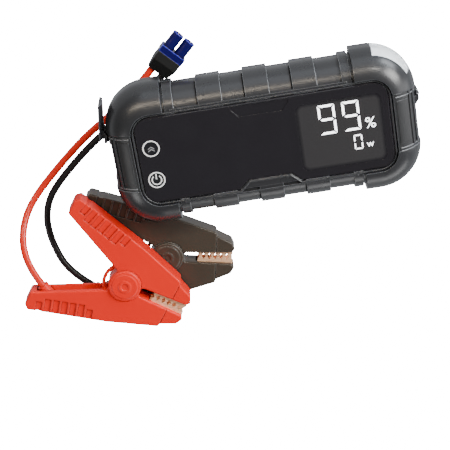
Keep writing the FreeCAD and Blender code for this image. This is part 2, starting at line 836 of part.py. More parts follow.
def make_display():
    pane = slab("window_pane", "window_right - window_left", "window_high - window_low",
                "window_corner - fit_gap", "panel_top - window_thick", "panel_top")
    node("display_window", move(pane, "(window_left + window_right) / 2", "(window_low + window_high) / 2"))
    segments = []
    for place in (0, 1):
        left = "(digit_left + %d * digit_pitch)" % place
        segments += seven_segments("digit_%d" % place, left, "digit_base", "digit_width", "digit_height",
                                   "digit_bar", "abcdfg")
    segments += seven_segments("small_digit", "small_digit_left", "small_digit_base", "small_digit_width",
                               "small_digit_height", "small_digit_bar", "abcdef")
    node("display_digits", group("display_digits_group", segments))
    node("display_module", window_view("display_module_box", "-run_gap", ROOF + " - module_depth",
                                       "panel_top - window_thick - module_gap"))
    top = ROOF + " - module_depth - module_gap"
    node("display_board", box("display_board_box", "window_left - display_board_edge",
                              "window_right + display_board_edge", "window_low", "window_high",
                              top + " - board_thick", top))


def seven_segments(name, left, base, width, height, bar, lit):
    """Bars with slanted ends, named a to g from the top round to the middle."""
    half = "(%s) / 2" % height
    shapes = []
    for letter in lit:
        if letter in "adg":
            corners = bar_across(width, height, bar, letter)
        else:
            corners = bar_up(width, half, height, bar, right=letter in "bc", upper=letter in "bf")
        piece = prism("%s_%s" % (name, letter), corners, "digit_thick")
        shapes.append(move(piece, left, base, "panel_top"))
    return shapes


def bar_across(width, height, bar, letter):
    """The top, bottom or middle bar; each end slants at the joint with the next bar."""
    near = "digit_gap"
    far = "(%s + digit_gap)" % bar
    if letter == "a":
        low = "%s - %s" % (height, bar)
        return [(far, low), ("%s - %s" % (width, far), low), ("%s - %s" % (width, near), height),
                (near, height)]
    if letter == "d":
        return [(near, "0"), ("%s - %s" % (width, near), "0"), ("%s - %s" % (width, far), bar), (far, bar)]
    middle = "(%s) / 2" % height
    low = "%s - (%s) / 2" % (middle, bar)
    high = "%s + (%s) / 2" % (middle, bar)
    tip = "%s / 2" % far
    return [(tip, middle), (far, low), ("%s - %s" % (width, far), low), ("%s - %s" % (width, tip), middle),
            ("%s - %s" % (width, far), high), (far, high)]


def bar_up(width, half, height, bar, right, upper):
    """One of the four upright bars, as a trapezium whose long side is outside."""
    if upper:
        low = half + " + digit_gap"
        high = height + " - digit_gap"
        inner_low = "%s + (%s) / 2 + digit_gap" % (half, bar)
        inner_high = "%s - %s - digit_gap" % (height, bar)
    else:
        low = "digit_gap"
        high = half + " - digit_gap"
        inner_low = "%s + digit_gap" % bar
        inner_high = "%s - (%s) / 2 - digit_gap" % (half, bar)
    if right:
        inner = "%s - %s" % (width, bar)
        return [(width, low), (width, high), (inner, inner_high), (inner, inner_low)]
    return [("0", low), (bar, inner_low), (bar, inner_high), ("0", high)]


def make_buttons():
    flange_top = "panel_top - button_cap - run_gap"
    caps = at_buttons("cap", "button_radius", "button_cap + run_gap", flange_top)
    flanges = at_buttons("flange", "flange_radius", "flange_thick", flange_top + " - flange_thick")
    stems = at_buttons("stem", "stem_radius", "stem_length + weld", "stem_low")
    for (word, _), pieces in zip(BUTTONS, zip(caps, flanges, stems)):
        node(word + "_button", fuse(word + "_button_solid", list(pieces)))
    base_top = "switch_top - plunger_height"
    plungers = at_buttons("plunger", "plunger_radius", "plunger_height + weld", base_top + " - weld")
    switches = []
    for (word, y), plunger in zip(BUTTONS, plungers):
        base = box(word + "_switch_base", "button_x - switch_half", "button_x + switch_half",
                   y + " - switch_half", y + " + switch_half", base_top + " - switch_height", base_top)
        switches.append(fuse(word + "_switch", [base, plunger]))
    node("button_switches", group("button_switches_group", switches))
    board_high = base_top + " - switch_height"
    node("button_board", box("button_board_box", "button_x - button_board_margin",
                             "button_x + button_board_margin", "power_y - button_board_margin",
                             "boost_y + button_board_margin", board_high + " - board_thick", board_high))


def mirrored(side, low, high):
    """A range along X on the left end, or its mirror image on the right."""
    if side < 0:
        return low, high
    return "-(%s)" % high, "-(%s)" % low


def end_bay(name, side, bay_low):
    x0, x1 = mirrored(side, -FAR, "-(%s) + step_inset" % CORE_END)
    return box(name, x0, x1, bay_low, "bay_high", "bay_bottom", "bay_top")


def make_end_trim(word, side, bay_low):
    """The band between two bumpers, with an open bay and a lug for the flap."""
    name = word + "_trim"
    outer = whole_ring(name + "_outer", "bumper_wall - trim_inset", "bumper_rise - trim_inset",
                       "bumper_under")
    inner = whole_ring(name + "_inner", "fit_gap", "fit_gap", "fit_gap")
    x0, x1 = mirrored(side, -FAR, "-trim_from")
    span = "(bumper_end - run_gap)"
    band = box(name + "_band", x0, x1, "-" + span, span, "ring_bottom", FAR)
    ring = cut(name + "_cut", common(name + "_ring", outer, band),
               [inner, panel_room(name + "_face"), end_bay(name + "_bay", side, bay_low)])
    x0, x1 = mirrored(side, "-hinge_x", "-(%s) - fit_gap" % CORE_END)
    lug = box(name + "_lug", x0, x1, "hinge_y - knuckle_radius", "hinge_y + knuckle_radius", "lug_low",
              "lug_high")
    eye = on_hinge(name + "_eye", side, "knuckle_radius", "lug_low", "lug_high")
    bore = on_hinge(name + "_bore", side, "hinge_pin_radius + pin_gap", "lug_low - 1", "lug_high + 1")
    node(word + "_end_trim", cut(name + "_solid", fuse(name + "_blank", [ring, lug, eye]), [bore]))
    node(word + "_hinge_pin", on_hinge(name + "_pin", side, "hinge_pin_radius", "knuckle_low",
                                       "knuckle_high"))


def on_hinge(name, side, radius, low, high):
    """An upright cylinder on the hinge line of the flap at one end."""
    return cylinder(name, radius, "(%s) - (%s)" % (high, low), "%d * hinge_x" % side, "hinge_y", low)


def make_flap(word, side, bay_low, angle):
    """A rubber flap drawn shut about its own hinge line, then swung by the angle."""
    name = word + "_flap"
    ring = whole_ring(name + "_ring", "bumper_wall - trim_inset", "bumper_rise - trim_inset", "bumper_under")
    shifted = move(group(name + "_ring_moved", [ring]), "%d * hinge_x" % -side, "-hinge_y")
    near = "knuckle_radius + flap_gap"
    x0, x1 = mirrored(side, near, near + " + flap_thick")
    plate = box(name + "_plate", x0, x1, "%s - hinge_y + flap_gap" % bay_low,
                "bay_high - hinge_y - flap_gap", "bay_bottom + flap_gap", "bay_top - flap_gap")
    fitted = common(name + "_fitted", plate, shifted)
    inside = near + " + strap_thick"
    root = "-knuckle_radius - 2 * flap_gap"
    corners = [("-strap_out", "0"), ("-strap_out", "-strap_neck"), (near, "-strap_end"),
               (inside, "-strap_end"), (inside, root), ("strap_out", root), ("strap_out", "0")]
    if side > 0:
        corners = [("-(%s)" % x, y) for x, y in reversed(corners)]
    strap = move(prism(name + "_strap", corners, "knuckle_high - knuckle_low"), z="knuckle_low")
    barrel = cylinder(name + "_barrel", "knuckle_radius", "knuckle_high - knuckle_low", 0, 0, "knuckle_low")
    clear = "knuckle_radius + run_gap + fit_gap"
    room = box(name + "_room", "-2 * (%s)" % clear, "2 * (%s)" % clear, "-(%s)" % clear, clear,
               "lug_low - run_gap", "lug_high + run_gap")
    bore = cylinder(name + "_bore", "hinge_pin_radius + pin_gap", FAR)
    solid = cut(name + "_solid", fuse(name + "_blank", [fitted, strap, barrel]), [room, bore])
    swung = group(name + "_swung", [solid])
    node(word + "_port_flap", move(swung, "%d * hinge_x" % side, "hinge_y", 0, angle))


def make_ends():
    for word, side, bay_low, angle in (("left", -1, "jump_bay_low", "-flap_open"),
                                       ("right", 1, "usb_bay_low", "0")):
        make_end_trim(word, side, bay_low)
        make_flap(word, side, bay_low, angle)


def make_jump_socket():
    """The blue socket that the plug's two barrels go into, with its pins."""
    face = "-(%s) + port_set_back" % CORE_END
    back = "-(%s) + socket_depth" % CORE_END
    block = box("socket_block", face, back, "socket_y - socket_width / 2 + fit_gap",
                "socket_y + socket_width / 2 - fit_gap", "mid_height - socket_height / 2 + fit_gap",
                "mid_height + socket_height / 2 - fit_gap")
    bores = []
    pins = []
    for index in (-1, 1):
        y = "socket_y + %d * barrel_pitch / 2" % index
        bores.append(cylinder("socket_bore_%d" % (index + 1), "socket_bore", "socket_depth - socket_floor",
                              face + " - port_set_back", y, "mid_height", ALONG_X))
        bores.append(cylinder("socket_pin_hole_%d" % (index + 1), "socket_pin + pin_gap", FAR, face, y,
                              "mid_height", ALONG_X))
        pins.append(cylinder("socket_pin_%d" % (index + 1), "socket_pin", "socket_depth + port_set_back",
                             face + " + socket_pin_set", y, "mid_height", ALONG_X))
    node("jump_socket", cut("jump_socket_solid", block, bores))
    node("socket_pins", group("socket_pins_group", pins))


def make_usb():
    """The charging ports behind the right flap: a frame, metal shells and tongues."""
    face = CORE_END + " - port_set_back"
    back = CORE_END + " - step_inset - port_overlap"
    floor = back + " + usb_floor"
    frame = box("port_block", back, face, "port_low + fit_gap", "port_high - fit_gap",
                "mid_height - port_height / 2 + fit_gap", "mid_height + port_height / 2 - fit_gap")
    holes = []
    shells = []
    tongues = []
    for port in ("usb_a", "usb_c"):
        y = port + "_y"
        wide = port + "_width"
        tall = port + "_height"
        holes.append(centred_box(port + "_hole", back + " - 1", face + " + 1", y, wide + " + 2 * fit_gap",
                                 tall + " + 2 * fit_gap"))
        outer = centred_box(port + "_outer", floor, face, y, wide, tall)
        inner = centred_box(port + "_inner", floor + " + usb_wall", face + " + 1", y,
                            wide + " - 2 * usb_wall", tall + " - 2 * usb_wall")
        shells.append(cut(port + "_shell", outer, [inner]))
        tongues.append(centred_box(port + "_tongue", floor + " + usb_wall + pin_gap", face + " - usb_floor",
                                   y, wide + " - 6 * usb_wall", tall + " / 4"))
    node("port_frame", cut("port_frame_solid", frame, holes))
    node("usb_shells", group("usb_shells_group", shells))
    node("usb_tongues", group("usb_tongues_group", tongues))


def centred_box(name, x0, x1, y, wide, tall):
    return box(name, x0, x1, "%s - (%s) / 2" % (y, wide), "%s + (%s) / 2" % (y, wide),
               "mid_height - (%s) / 2" % tall, "mid_height + (%s) / 2" % tall)


def make_cells():
    """Three flat cells in the back's hump, a cradle round them and the bars between."""
    cells = []
    for index in range(3):
        low = "cell_bottom + %d * cell_pitch" % index
        cells.append(slab("cell_%d" % index, "cell_length", "cell_width", "cell_corner", low,
                          low + " + cell_thick", top="cell_round", bottom="cell_round"))
    node("battery_cells", group("battery_cells_group", cells))
    room = "2 * (cradle_wall + run_gap)"
    outer = slab("cradle_outer", "cell_length + " + room, "cell_width + " + room,
                 "cell_corner + cradle_wall / 2", "cell_bottom - fit_gap - cradle_floor", "stack_top")
    inner = slab("cradle_inner", "cell_length + 2 * run_gap", "cell_width + 2 * run_gap", "cell_corner",
                 "cell_bottom - fit_gap", FAR)
    node("cell_cradle", cut("cell_cradle_solid", outer, [inner]))
    bars = []
    for index in (-1, 1):
        y = "socket_y + %d * barrel_pitch / 2" % index
        bars.append(box("bus_bar_%d" % (index + 1), "-(%s) + socket_depth + bar_set_back" % CORE_END,
                        "-cell_length / 2 - bar_end", y + " - bar_width / 2", y + " + bar_width / 2",
                        "mid_height - bar_thick / 2", "mid_height + bar_thick / 2"))
    node("bus_bars", group("bus_bars_group", bars))


def make_boards():
    """The main board on four feet and its larger components."""
    feet = []
    for index, (sx, sy) in enumerate(FOUR_CORNERS):
        feet.append(cylinder("board_foot_%d" % index, "foot_radius", "board_level - stack_top",
                             "%d * (cell_length + cradle_wall) / 2" % sx,
                             "%d * (cell_width / 2 - foot_inset)" % sy, "stack_top"))
    node("board_feet", group("board_feet_group", feet))
    node("main_board", slab("main_board_blank", "board_length", "board_width", "cell_corner", "board_level",
                            "board_top"))
    parts = []
    for index in range(4):
        x = "chip_row - board_length / 2 + %d * chip_pitch" % index
        y = "chip_margin - board_width / 2"
        parts.append(box("switch_chip_%d" % index, x, x + " + chip_length", y, y + " + chip_length",
                         "board_top", "board_top + chip_height"))
    for index in range(3):
        x = "coil_row - board_length / 2 + %d * coil_pitch" % index
        parts.append(cylinder("coil_%d" % index, "coil_radius", "coil_height", x, "coil_y", "board_top"))
    parts.append(box("controller_chip", "controller_x", "controller_x + controller_side",
                     "-controller_side / 2", "controller_side / 2", "board_top",
                     "board_top + controller_height"))
    node("board_parts", group("board_parts_group", parts))


def lay_plug(thing):
    return move(thing, "plug_x", "plug_y", "plug_height / 2", "plug_turn")


def make_plug():
    """Housing with two barrels, gilt contacts and a soft boot, along local X."""
    root = "-barrel_length"
    parts = [box("plug_base_box", root + " - plug_base", root, "-plug_width / 2", "plug_width / 2",
                 "-plug_height / 2", "plug_height / 2")]
    bores = []
    rods = []
    for side in (-1, 1):
        y = "%d * barrel_pitch / 2" % side
        tag = side + 1
        parts.append(cylinder("plug_barrel_%d" % tag, "barrel_radius", "barrel_length + weld",
                              root + " - weld", y, 0, ALONG_X))
        bores.append(cylinder("plug_bore_%d" % tag, "contact_radius + fit_gap", FAR,
                              root + " - plug_base - 1", y, 0, ALONG_X))
        rod = cylinder("plug_rod_%d" % tag, "contact_radius",
                       "barrel_length + contact_root - contact_recess", root + " - contact_root", y, 0,
                       ALONG_X)
        hole = cylinder("plug_rod_hole_%d" % tag, "contact_radius - contact_wall", FAR, root, y, 0, ALONG_X)
        rods.append(cut("plug_contact_%d" % tag, rod, [hole]))
    node("plug_housing", lay_plug(cut("plug_housing_solid", fuse("plug_blank", parts), bores)))
    node("plug_contacts", lay_plug(group("plug_contacts_group", rods)))
    node("plug_boot", lay_plug(make_boot()))


def make_boot():
    """The soft boot: a straight stretch and a taper, flat underneath."""
    body = doc.addObject("PartDesign::Body", "boot")
    low = "-plug_height / 2"
    sections = []
    for name, width, tall, reach in (
            ("boot_wide", "plug_width - 2 * boot_inset", "plug_height", "0"),
            ("boot_shoulder_ring", "plug_width - 2 * boot_inset", "plug_height", "boot_shoulder"),
            ("boot_end", "boot_end_width", "boot_end_height", "boot_length")):
        sketch = sketch_on(body, name, "YZ_Plane")
        sketch.setExpression("AttachmentOffset.Base.z", ex("-barrel_length - plug_base - (%s)" % reach))
        half = "(%s) / 2" % width
        high = "%s + (%s)" % (low, tall)
        draw_outline(sketch, [(half, high), ("-" + half, high), ("-" + half, low), (half, low)])
        sections.append(sketch)
    for index, name in enumerate(("boot_straight", "boot_taper")):
        loft = body.newObject("PartDesign::AdditiveLoft", name)
        loft.Profile = sections[index]
        loft.Sections = [sections[index + 1]]
        doc.recompute()
    body.Tip = loft
    return body


def half_outline(side):
    """One clamp half from throat to nose and back along the handle; side is 1 for the lever."""
    corners = [("throat_start", "half_gap"), ("throat_start + throat_half - half_gap", "throat_half"),
               ("jaw_reach - nose_step", "jaw_nose_low"), ("jaw_reach", "jaw_nose_low + nose_step"),
               ("jaw_reach - nose_step", "jaw_nose_high"),
               ("shoulder_reach + seam_width", "shoulder_out - nose_step"),
               ("shoulder_reach", "shoulder_out"), ("0", "back_out"),
               ("handle_tip - handle_reach", "handle_out"), ("-handle_reach", "handle_out - handle_tip"),
               ("-handle_reach", "handle_in"), ("-heel", "heel_in"), ("-heel_gap", "half_gap")]
    if side > 0:
        return corners
    return [(u, "-(%s)" % v) for u, v in reversed(corners)]


def both_faces(name, start, length, low, high, depth):
    """Shallow rectangular cuts, one in each face of a clamp half."""
    return [box(name + "_up", start, "%s + %s" % (start, length), low, high, "clamp_half - " + depth,
                "clamp_half + 1"),
            box(name + "_down", start, "%s + %s" % (start, length), low, high, "-clamp_half - 1",
                "%s - clamp_half" % depth)]


def centred(thing, half):
    return move(thing, z="-(%s)" % half)


def grip_tools(name, side):
    """Sunk pads between the finger ribs, and the scalloped edge, along the handle's outer edge."""
    slope = "atan((handle_out - back_out) / (handle_reach - handle_tip))"
    tools = []
    for index in range(GRIP_COUNT):
        start = "(grip_start + %d * grip_pitch)" % index
        at_end = index in (0, GRIP_COUNT - 1)
        reach = "(grip_reach - grip_taper)" if at_end else "grip_reach"
        low, high = ("-1", reach) if side > 0 else ("-" + reach, "1")
        tools += both_faces("%s_grip_%d" % (name, index), start, "grip_width", low, high, "grip_depth")
        tools.append(cylinder("%s_scallop_%d" % (name, index), "scallop_radius", "2 * clamp_half + 2",
                              start + " + grip_width / 2", "%d * (scallop_depth - scallop_radius)" % side,
                              "-clamp_half - 1"))
    placed = group(name + "_grips", tools)
    return [move(placed, 0, "%d * back_out" % side, 0, "%d * (180 deg - %s)" % (side, slope))]


def nose_seam(name, side):
    """The fine line across both faces where the nose's cover meets the handle."""
    low, high = ("0", "back_out") if side > 0 else ("-back_out", "0")
    return both_faces(name + "_seam", "shoulder_reach", "seam_width", low, high, "seam_sink")


def lead_room(name, start, sweep):
    """A curved groove inside the handle for the link lead, round the pivot."""
    outer = disc(name + "_outer", "link_ring + link_radius + run_gap", "-cheek_in", "cheek_in")
    bind(outer, Angle=sweep)
    return move(outer, turn=start)


def channel(name, side):
    """The hollow inside a handle and the seat of its jaw strip."""
    handle = [("-heel - 2", "heel_in - web"), ("-heel - web", "back_out - 2"),
              ("web - handle_reach", "handle_out - web - nose_step"),
              ("web - handle_reach", "handle_in - web - 1")]
    seat = [("strip_start - strip_step", "half_gap / 2"), ("jaw_reach - strip_step", "half_gap / 2"),
            ("jaw_reach - strip_step", "jaw_nose_low + jaw_strip + fit_gap"),
            ("strip_start - strip_step", "tooth_depth + jaw_strip")]
    if side < 0:
        handle = [(u, "-(%s)" % v) for u, v in reversed(handle)]
        seat = [(u, "-(%s)" % v) for u, v in reversed(seat)]
    return [centred(prism(name + "_handle_hollow", handle, "2 * cheek_in"), "cheek_in"),
            centred(prism(name + "_jaw_seat", seat, "2 * (cheek_in - fit_gap)"), "(cheek_in - fit_gap)")]


def disc(name, radius, low, high):
    return cylinder(name, radius, "(%s) - (%s)" % (high, low), 0, 0, low)


def clamp_plate(name, side):
    plate = prism(name, half_outline(side), "2 * clamp_half", corner="half_corner", top="half_rim",
                  low="half_rim")
    return centred(plate, "clamp_half")


def clamp_base(tag):
    name = tag + "_base"
    cheeks = [disc(tag + "_cheek_up", "hub_radius", "cheek_in", "clamp_half"),
              disc(tag + "_cheek_down", "hub_radius", "-clamp_half", "-cheek_in")]
    room = disc(tag + "_tongue_room", "hub_radius + run_gap", "-cheek_in", "cheek_in")
    tools = [room, lead_room(name + "_lead", "base_lead_start", "base_lead_sweep")] + channel(name, -1)
    tools += grip_tools(name, -1) + nose_seam(name, -1)
    hollow = cut(name + "_hollow", fuse(name + "_blank", [clamp_plate(name + "_plate", -1)] + cheeks), tools)
    rod = cylinder(tag + "_gland_rod", "gland_radius", "gland_length + gland_root", "-gland_root", 0, 0,
                   ALONG_X)
    gland = move(group(tag + "_gland", [rod]), "gland_u", "gland_v", 0, "gland_turn")
    bore = disc(name + "_bore", "pin_radius + pin_gap", "-hub_half", "hub_half")
    return cut(name + "_solid", fuse(name + "_gland_joined", [hollow, gland]), [bore])


def clamp_lever(tag):
    name = tag + "_lever"
    gaps = [disc(tag + "_cheek_room_up", "hub_radius + run_gap", "cheek_in - run_gap", "hub_half"),
            disc(tag + "_cheek_room_down", "hub_radius + run_gap", "-hub_half", "-cheek_in + run_gap")]
    tools = gaps + [lead_room(name + "_lead", "lever_lead_start", "lever_lead_sweep")] + channel(name, 1)
    tools += grip_tools(name, 1) + nose_seam(name, 1)
    hollow = cut(name + "_hollow", clamp_plate(name + "_plate", 1), tools)
    tongue = disc(tag + "_tongue", "hub_radius - run_gap", "-cheek_in + run_gap", "cheek_in - run_gap")
    bore = disc(name + "_bore", "pin_radius + pin_gap", "-hub_half", "hub_half")
    room = disc(tag + "_spring_room", "spring_radius + spring_gap", "-spring_room", "spring_room")
    return cut(name + "_solid", fuse(name + "_blank", [hollow, tongue]), [bore, room])


def jaw_strip(tag, side):
    """A toothed copper strip seated in one jaw; the teeth of both jaws meet tip to tip."""
    end = "strip_start + %d * tooth_pitch" % TOOTH_COUNT
    valley = "strip_gap + tooth_depth"
    corners = [("strip_start", valley)]
    for index in range(TOOTH_COUNT):
        corners.append(("strip_start + (%d + 0.35) * tooth_pitch" % index, "strip_gap"))
        corners.append(("strip_start + (%d + 0.65) * tooth_pitch" % index, "strip_gap"))
        corners.append(("strip_start + %d * tooth_pitch" % (index + 1), valley))
    corners.append((end, "jaw_nose_low + jaw_strip - fit_gap"))
    corners.append(("strip_start", "tooth_depth + jaw_strip - fit_gap"))
    if side < 0:
        corners = [(u, "-(%s)" % v) for u, v in reversed(corners)]
    strip = prism("%s_strip_%d" % (tag, side + 1), corners, "2 * (cheek_in - 2 * fit_gap)")
    return centred(strip, "(cheek_in - 2 * fit_gap)")


def hub_caps(tag):
    """The two round caps over the pivot, turned from one profile and bored for the pin."""
    caps = []
    for side in (-1, 1):
        cap = doc.addObject("PartDesign::Body", "%s_cap_%d" % (tag, side + 1))
        profile = [("0", "clamp_half"), ("hub_radius - cap_edge", "clamp_half"),
                   ("hub_radius - cap_edge", "clamp_half + cap_rim"),
                   ("hub_radius - cap_round", "clamp_half + cap_top"),
                   ("hub_radius - cap_band", "clamp_half + cap_top"),
                   ("hub_radius - cap_slope", "hub_half - cap_dish"), ("cap_boss", "hub_half - cap_dish"),
                   ("cap_boss_top", "hub_half"), ("pin_radius", "hub_half"),
                   ("cap_well_radius", "hub_half - cap_well"), ("0", "hub_half - cap_well")]
        sketch = sketch_on(cap, "%s_cap_profile_%d" % (tag, side + 1), "XZ_Plane")
        draw_outline(sketch, profile, middle=20.0, radius=10.0)
        turn = cap.newObject("PartDesign::Revolution", "%s_cap_turn_%d" % (tag, side + 1))
        turn.Profile = sketch
        turn.ReferenceAxis = (sketch, ["V_Axis"])
        turn.Angle = 360
        doc.recompute()
        cap.Tip = turn
        if side < 0:
            cap.Placement = FreeCAD.Placement(FreeCAD.Vector(),
                                              FreeCAD.Rotation(FreeCAD.Vector(1, 0, 0), 180))
        caps.append(cap)
    reach = "hub_half - pin_set_back + pin_gap"
    bore = disc(tag + "_cap_bore", "pin_radius + pin_gap", "-(%s)" % reach, reach)
    return cut(tag + "_caps_solid", group(tag + "_caps_group", caps), [bore])


def clamp_spring(tag):
    """The torsion spring's coil round the pin."""
    coil = disc(tag + "_coil", "spring_radius", "-spring_room + run_gap", "spring_room - run_gap")
    hole = disc(tag + "_coil_hole", "pin_radius + spring_gap", "-hub_half", "hub_half")
    return cut(tag + "_spring_solid", coil, [hole])


def clamp_link(tag):
    """The short insulated lead round the hub's back; it slides in the base's groove."""
    ring = doc.addObject("Part::Torus", tag + "_link_ring")
    bind(ring, Radius1="link_ring", Radius2="link_radius", Angle3="link_sweep")
    return move(ring, 0, 0, "cheek_in - link_radius - slide_gap * 2", "link_start")


def make_clamps():
    for tag in ("black", "red"):
        pin = disc(tag + "_pin", "pin_radius", "pin_set_back - hub_half", "hub_half - pin_set_back")
        pieces = [
            ("clamp_base", clamp_base(tag)), ("clamp_lever", clamp_lever(tag)),
            ("base_jaw", jaw_strip(tag, -1)), ("lever_jaw", jaw_strip(tag, 1)),
            ("pivot_pin", pin), ("hub_caps", hub_caps(tag)),
            ("torsion_spring", clamp_spring(tag)), ("link_lead", clamp_link(tag)),
        ]
        for name, thing in pieces:
            placed = group("%s_%s_placed" % (tag, name), [thing])
            move(placed, tag + "_x", tag + "_y", tag + "_z", tag + "_turn")
            node("%s_%s" % (tag, name), placed)


# The cords lie as chosen, from each clamp's gland, round the unit's left end and
# under its raised rim to the boot. Millimetres.
RED_ROUTE = [
    (-192.0, -64.7, 25.8), (-190.8, -51.5, 19.2), (-186.0, -39.8, 11.6), (-177.5, -29.3, 5.6),
    (-167.0, -19.6, 2.8), (-155.5, -9.3, 2.8), (-143.4, 1.0, 2.8), (-130.8, 10.8, 2.8),
    (-118.0, 19.0, 2.8), (-105.3, 27.3, 2.8), (-93.3, 36.3, 2.8),
]
BLACK_ROUTE = [
    (-166.2, -87.8, 8.2), (-171.1, -75.6, 4.6), (-173.8, -62.0, 2.8), (-173.2, -48.0, 2.8),
    (-168.6, -34.8, 2.8), (-159.8, -23.6, 2.8), (-149.0, -13.4, 2.8), (-137.8, -3.8, 2.8),
    (-126.3, 5.0, 2.8), (-114.6, 12.8, 2.8), (-103.3, 19.8, 2.8), (-93.2, 26.4, 2.8),
    (-84.0, 33.0, 2.8),
]
LEAD_OUT = {"red": 12.0, "black": 11.0}


def heading(degrees):
    return FreeCAD.Vector(math.cos(math.radians(degrees)), math.sin(math.radians(degrees)), 0)


def gland_end(tag):
    """The middle of the gland's open face and the direction it points."""
    lying = doc.getObject(tag + "_clamp_base_placed").Placement
    out = heading(size("gland_turn"))
    inside = FreeCAD.Vector(size("gland_inset") - size("handle_reach"),
                            size("gland_sink") - size("handle_in"), 0)
    return lying.multVec(inside + out * size("gland_length")), lying.Rotation.multVec(out)


def boot_entry(side):
    """Where a cord enters the end of the boot, and the direction it arrives in."""
    lying = doc.getObject("boot").Placement
    reach = size("barrel_length") + size("plug_base") + size("boot_length")
    level = (size("boot_end_height") - size("plug_height")) / 2
    spot = FreeCAD.Vector(-reach, side * size("cord_pitch") / 2, level)
    return lying.multVec(spot), lying.Rotation.multVec(FreeCAD.Vector(1, 0, 0))


def cord_points(tag):
    start, out = gland_end(tag)
    finish, arrival = boot_entry(1 if tag == "red" else -1)
    lead = LEAD_OUT[tag]
    middle = [FreeCAD.Vector(*spot) for spot in (RED_ROUTE if tag == "red" else BLACK_ROUTE)]
    return [start, start + out * lead] + middle + [finish - arrival * lead, finish]


def cord_path(points):
    """Straight runs joined by tangent arcs, each as large as its two runs allow."""
    edges = []
    radii = []
    last = points[0]
    for before, here, after in zip(points, points[1:], points[2:]):
        arriving = (here - before).normalize()
        leaving = (after - here).normalize()
        half = arriving.getAngle(leaving) / 2
        shorter = min((here - before).Length, (after - here).Length)
        radius = 0.45 * shorter / math.tan(half)
        trim = radius * math.tan(half)
        first = here - arriving * trim
        third = here + leaving * trim
        inward = (leaving - arriving).normalize()
        centre = here + inward * (radius / math.cos(half))
        second = centre - inward * radius
        edges.append(Part.LineSegment(last, first).toShape())
        edges.append(Part.Arc(first, second, third).toShape())
        radii.append(radius)
        last = third
    edges.append(Part.LineSegment(last, points[-1]).toShape())
    return Part.Wire(edges), radii


def make_cord(tag):
    points = cord_points(tag)
    path, radii = cord_path(points)
    radius = size("cord_diameter") / 2
    ring = Part.Wire([Part.makeCircle(radius, points[0], points[1] - points[0])])
    tube = path.makePipeShell([ring], True, False)
    expected = math.pi * radius ** 2 * path.Length
    print(tag, "cord radii", ", ".join("%.0f" % value for value in radii))
    print("length %.1f, volume ratio %.4f, lowest %.2f" % (
        path.Length, tube.Volume / expected, tube.optimalBoundingBox(False, False).ZMin))
    thing = doc.addObject("Part::Feature", tag + "_cord_tube")
    thing.Shape = tube
    node(tag + "_cord", thing)


make_front_shell()
make_back_shell()
make_seal()
make_screws()
make_bumpers()
make_lamp()
make_panel()
make_display()
make_buttons()
make_ends()
make_jump_socket()
make_usb()
make_cells()
make_boards()
make_plug()
make_clamps()
doc.recompute()
make_cord("red")
make_cord("black")
doc.recompute()

faults = []
for thing in doc.Objects:
    if "Invalid" in thing.State or "Error" in thing.State:
        faults.append("%s %s" % (thing.Name, thing.State))
for thing in NODES:
    if thing.Shape.isNull() or not thing.Shape.isValid():
        faults.append("bad shape " + thing.Label)
if faults:
    raise RuntimeError("; ".join(faults))

os.makedirs("parts", exist_ok=True)
for thing in NODES:
    thing.Shape.exportStep(os.path.join("parts", thing.Label + ".step"))
print(len(NODES), "nodes")
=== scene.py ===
import json
from math import copysign, cos, pi, radians, sin

import bmesh
import bpy
from mathutils import Matrix, Vector


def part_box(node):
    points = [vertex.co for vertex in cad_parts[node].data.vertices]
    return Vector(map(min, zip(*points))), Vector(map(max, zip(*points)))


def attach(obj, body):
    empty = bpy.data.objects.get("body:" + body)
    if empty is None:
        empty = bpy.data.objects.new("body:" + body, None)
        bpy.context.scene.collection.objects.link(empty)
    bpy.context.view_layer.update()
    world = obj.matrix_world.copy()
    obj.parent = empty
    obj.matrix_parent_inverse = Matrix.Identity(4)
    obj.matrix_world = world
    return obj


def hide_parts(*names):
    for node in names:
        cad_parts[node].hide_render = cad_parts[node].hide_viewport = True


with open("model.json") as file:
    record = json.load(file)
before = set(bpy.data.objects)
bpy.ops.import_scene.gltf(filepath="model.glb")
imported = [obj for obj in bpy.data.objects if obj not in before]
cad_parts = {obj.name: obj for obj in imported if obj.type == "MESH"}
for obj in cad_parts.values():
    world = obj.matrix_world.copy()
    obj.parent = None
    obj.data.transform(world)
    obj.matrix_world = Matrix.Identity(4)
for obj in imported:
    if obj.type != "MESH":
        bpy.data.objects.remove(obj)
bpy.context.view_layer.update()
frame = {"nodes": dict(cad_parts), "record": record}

NODES = frame["nodes"]
MM = 0.001


# Camera: a 112 mm lens a metre away, above the lamp side of the unit and looking down

# The picture's width in pixels, and the lens and its sensor in millimetres
PICTURE = 450
LENS = 112.0
SENSOR = 36.0
CAMERA_AWAY = 999.6 * MM
FAR_CLIP = 20
# The middle of the unit's face shows at this pixel, and the face lies at these angles to the picture.
FACE_MIDDLE = Vector((0, 0, 49.5 * MM))
FACE_PIXEL = (265.1, 143.2)
FACE_TURN = radians(-2.391)
FACE_TILT = radians(22.773)
FACE_ROLL = radians(9.739)


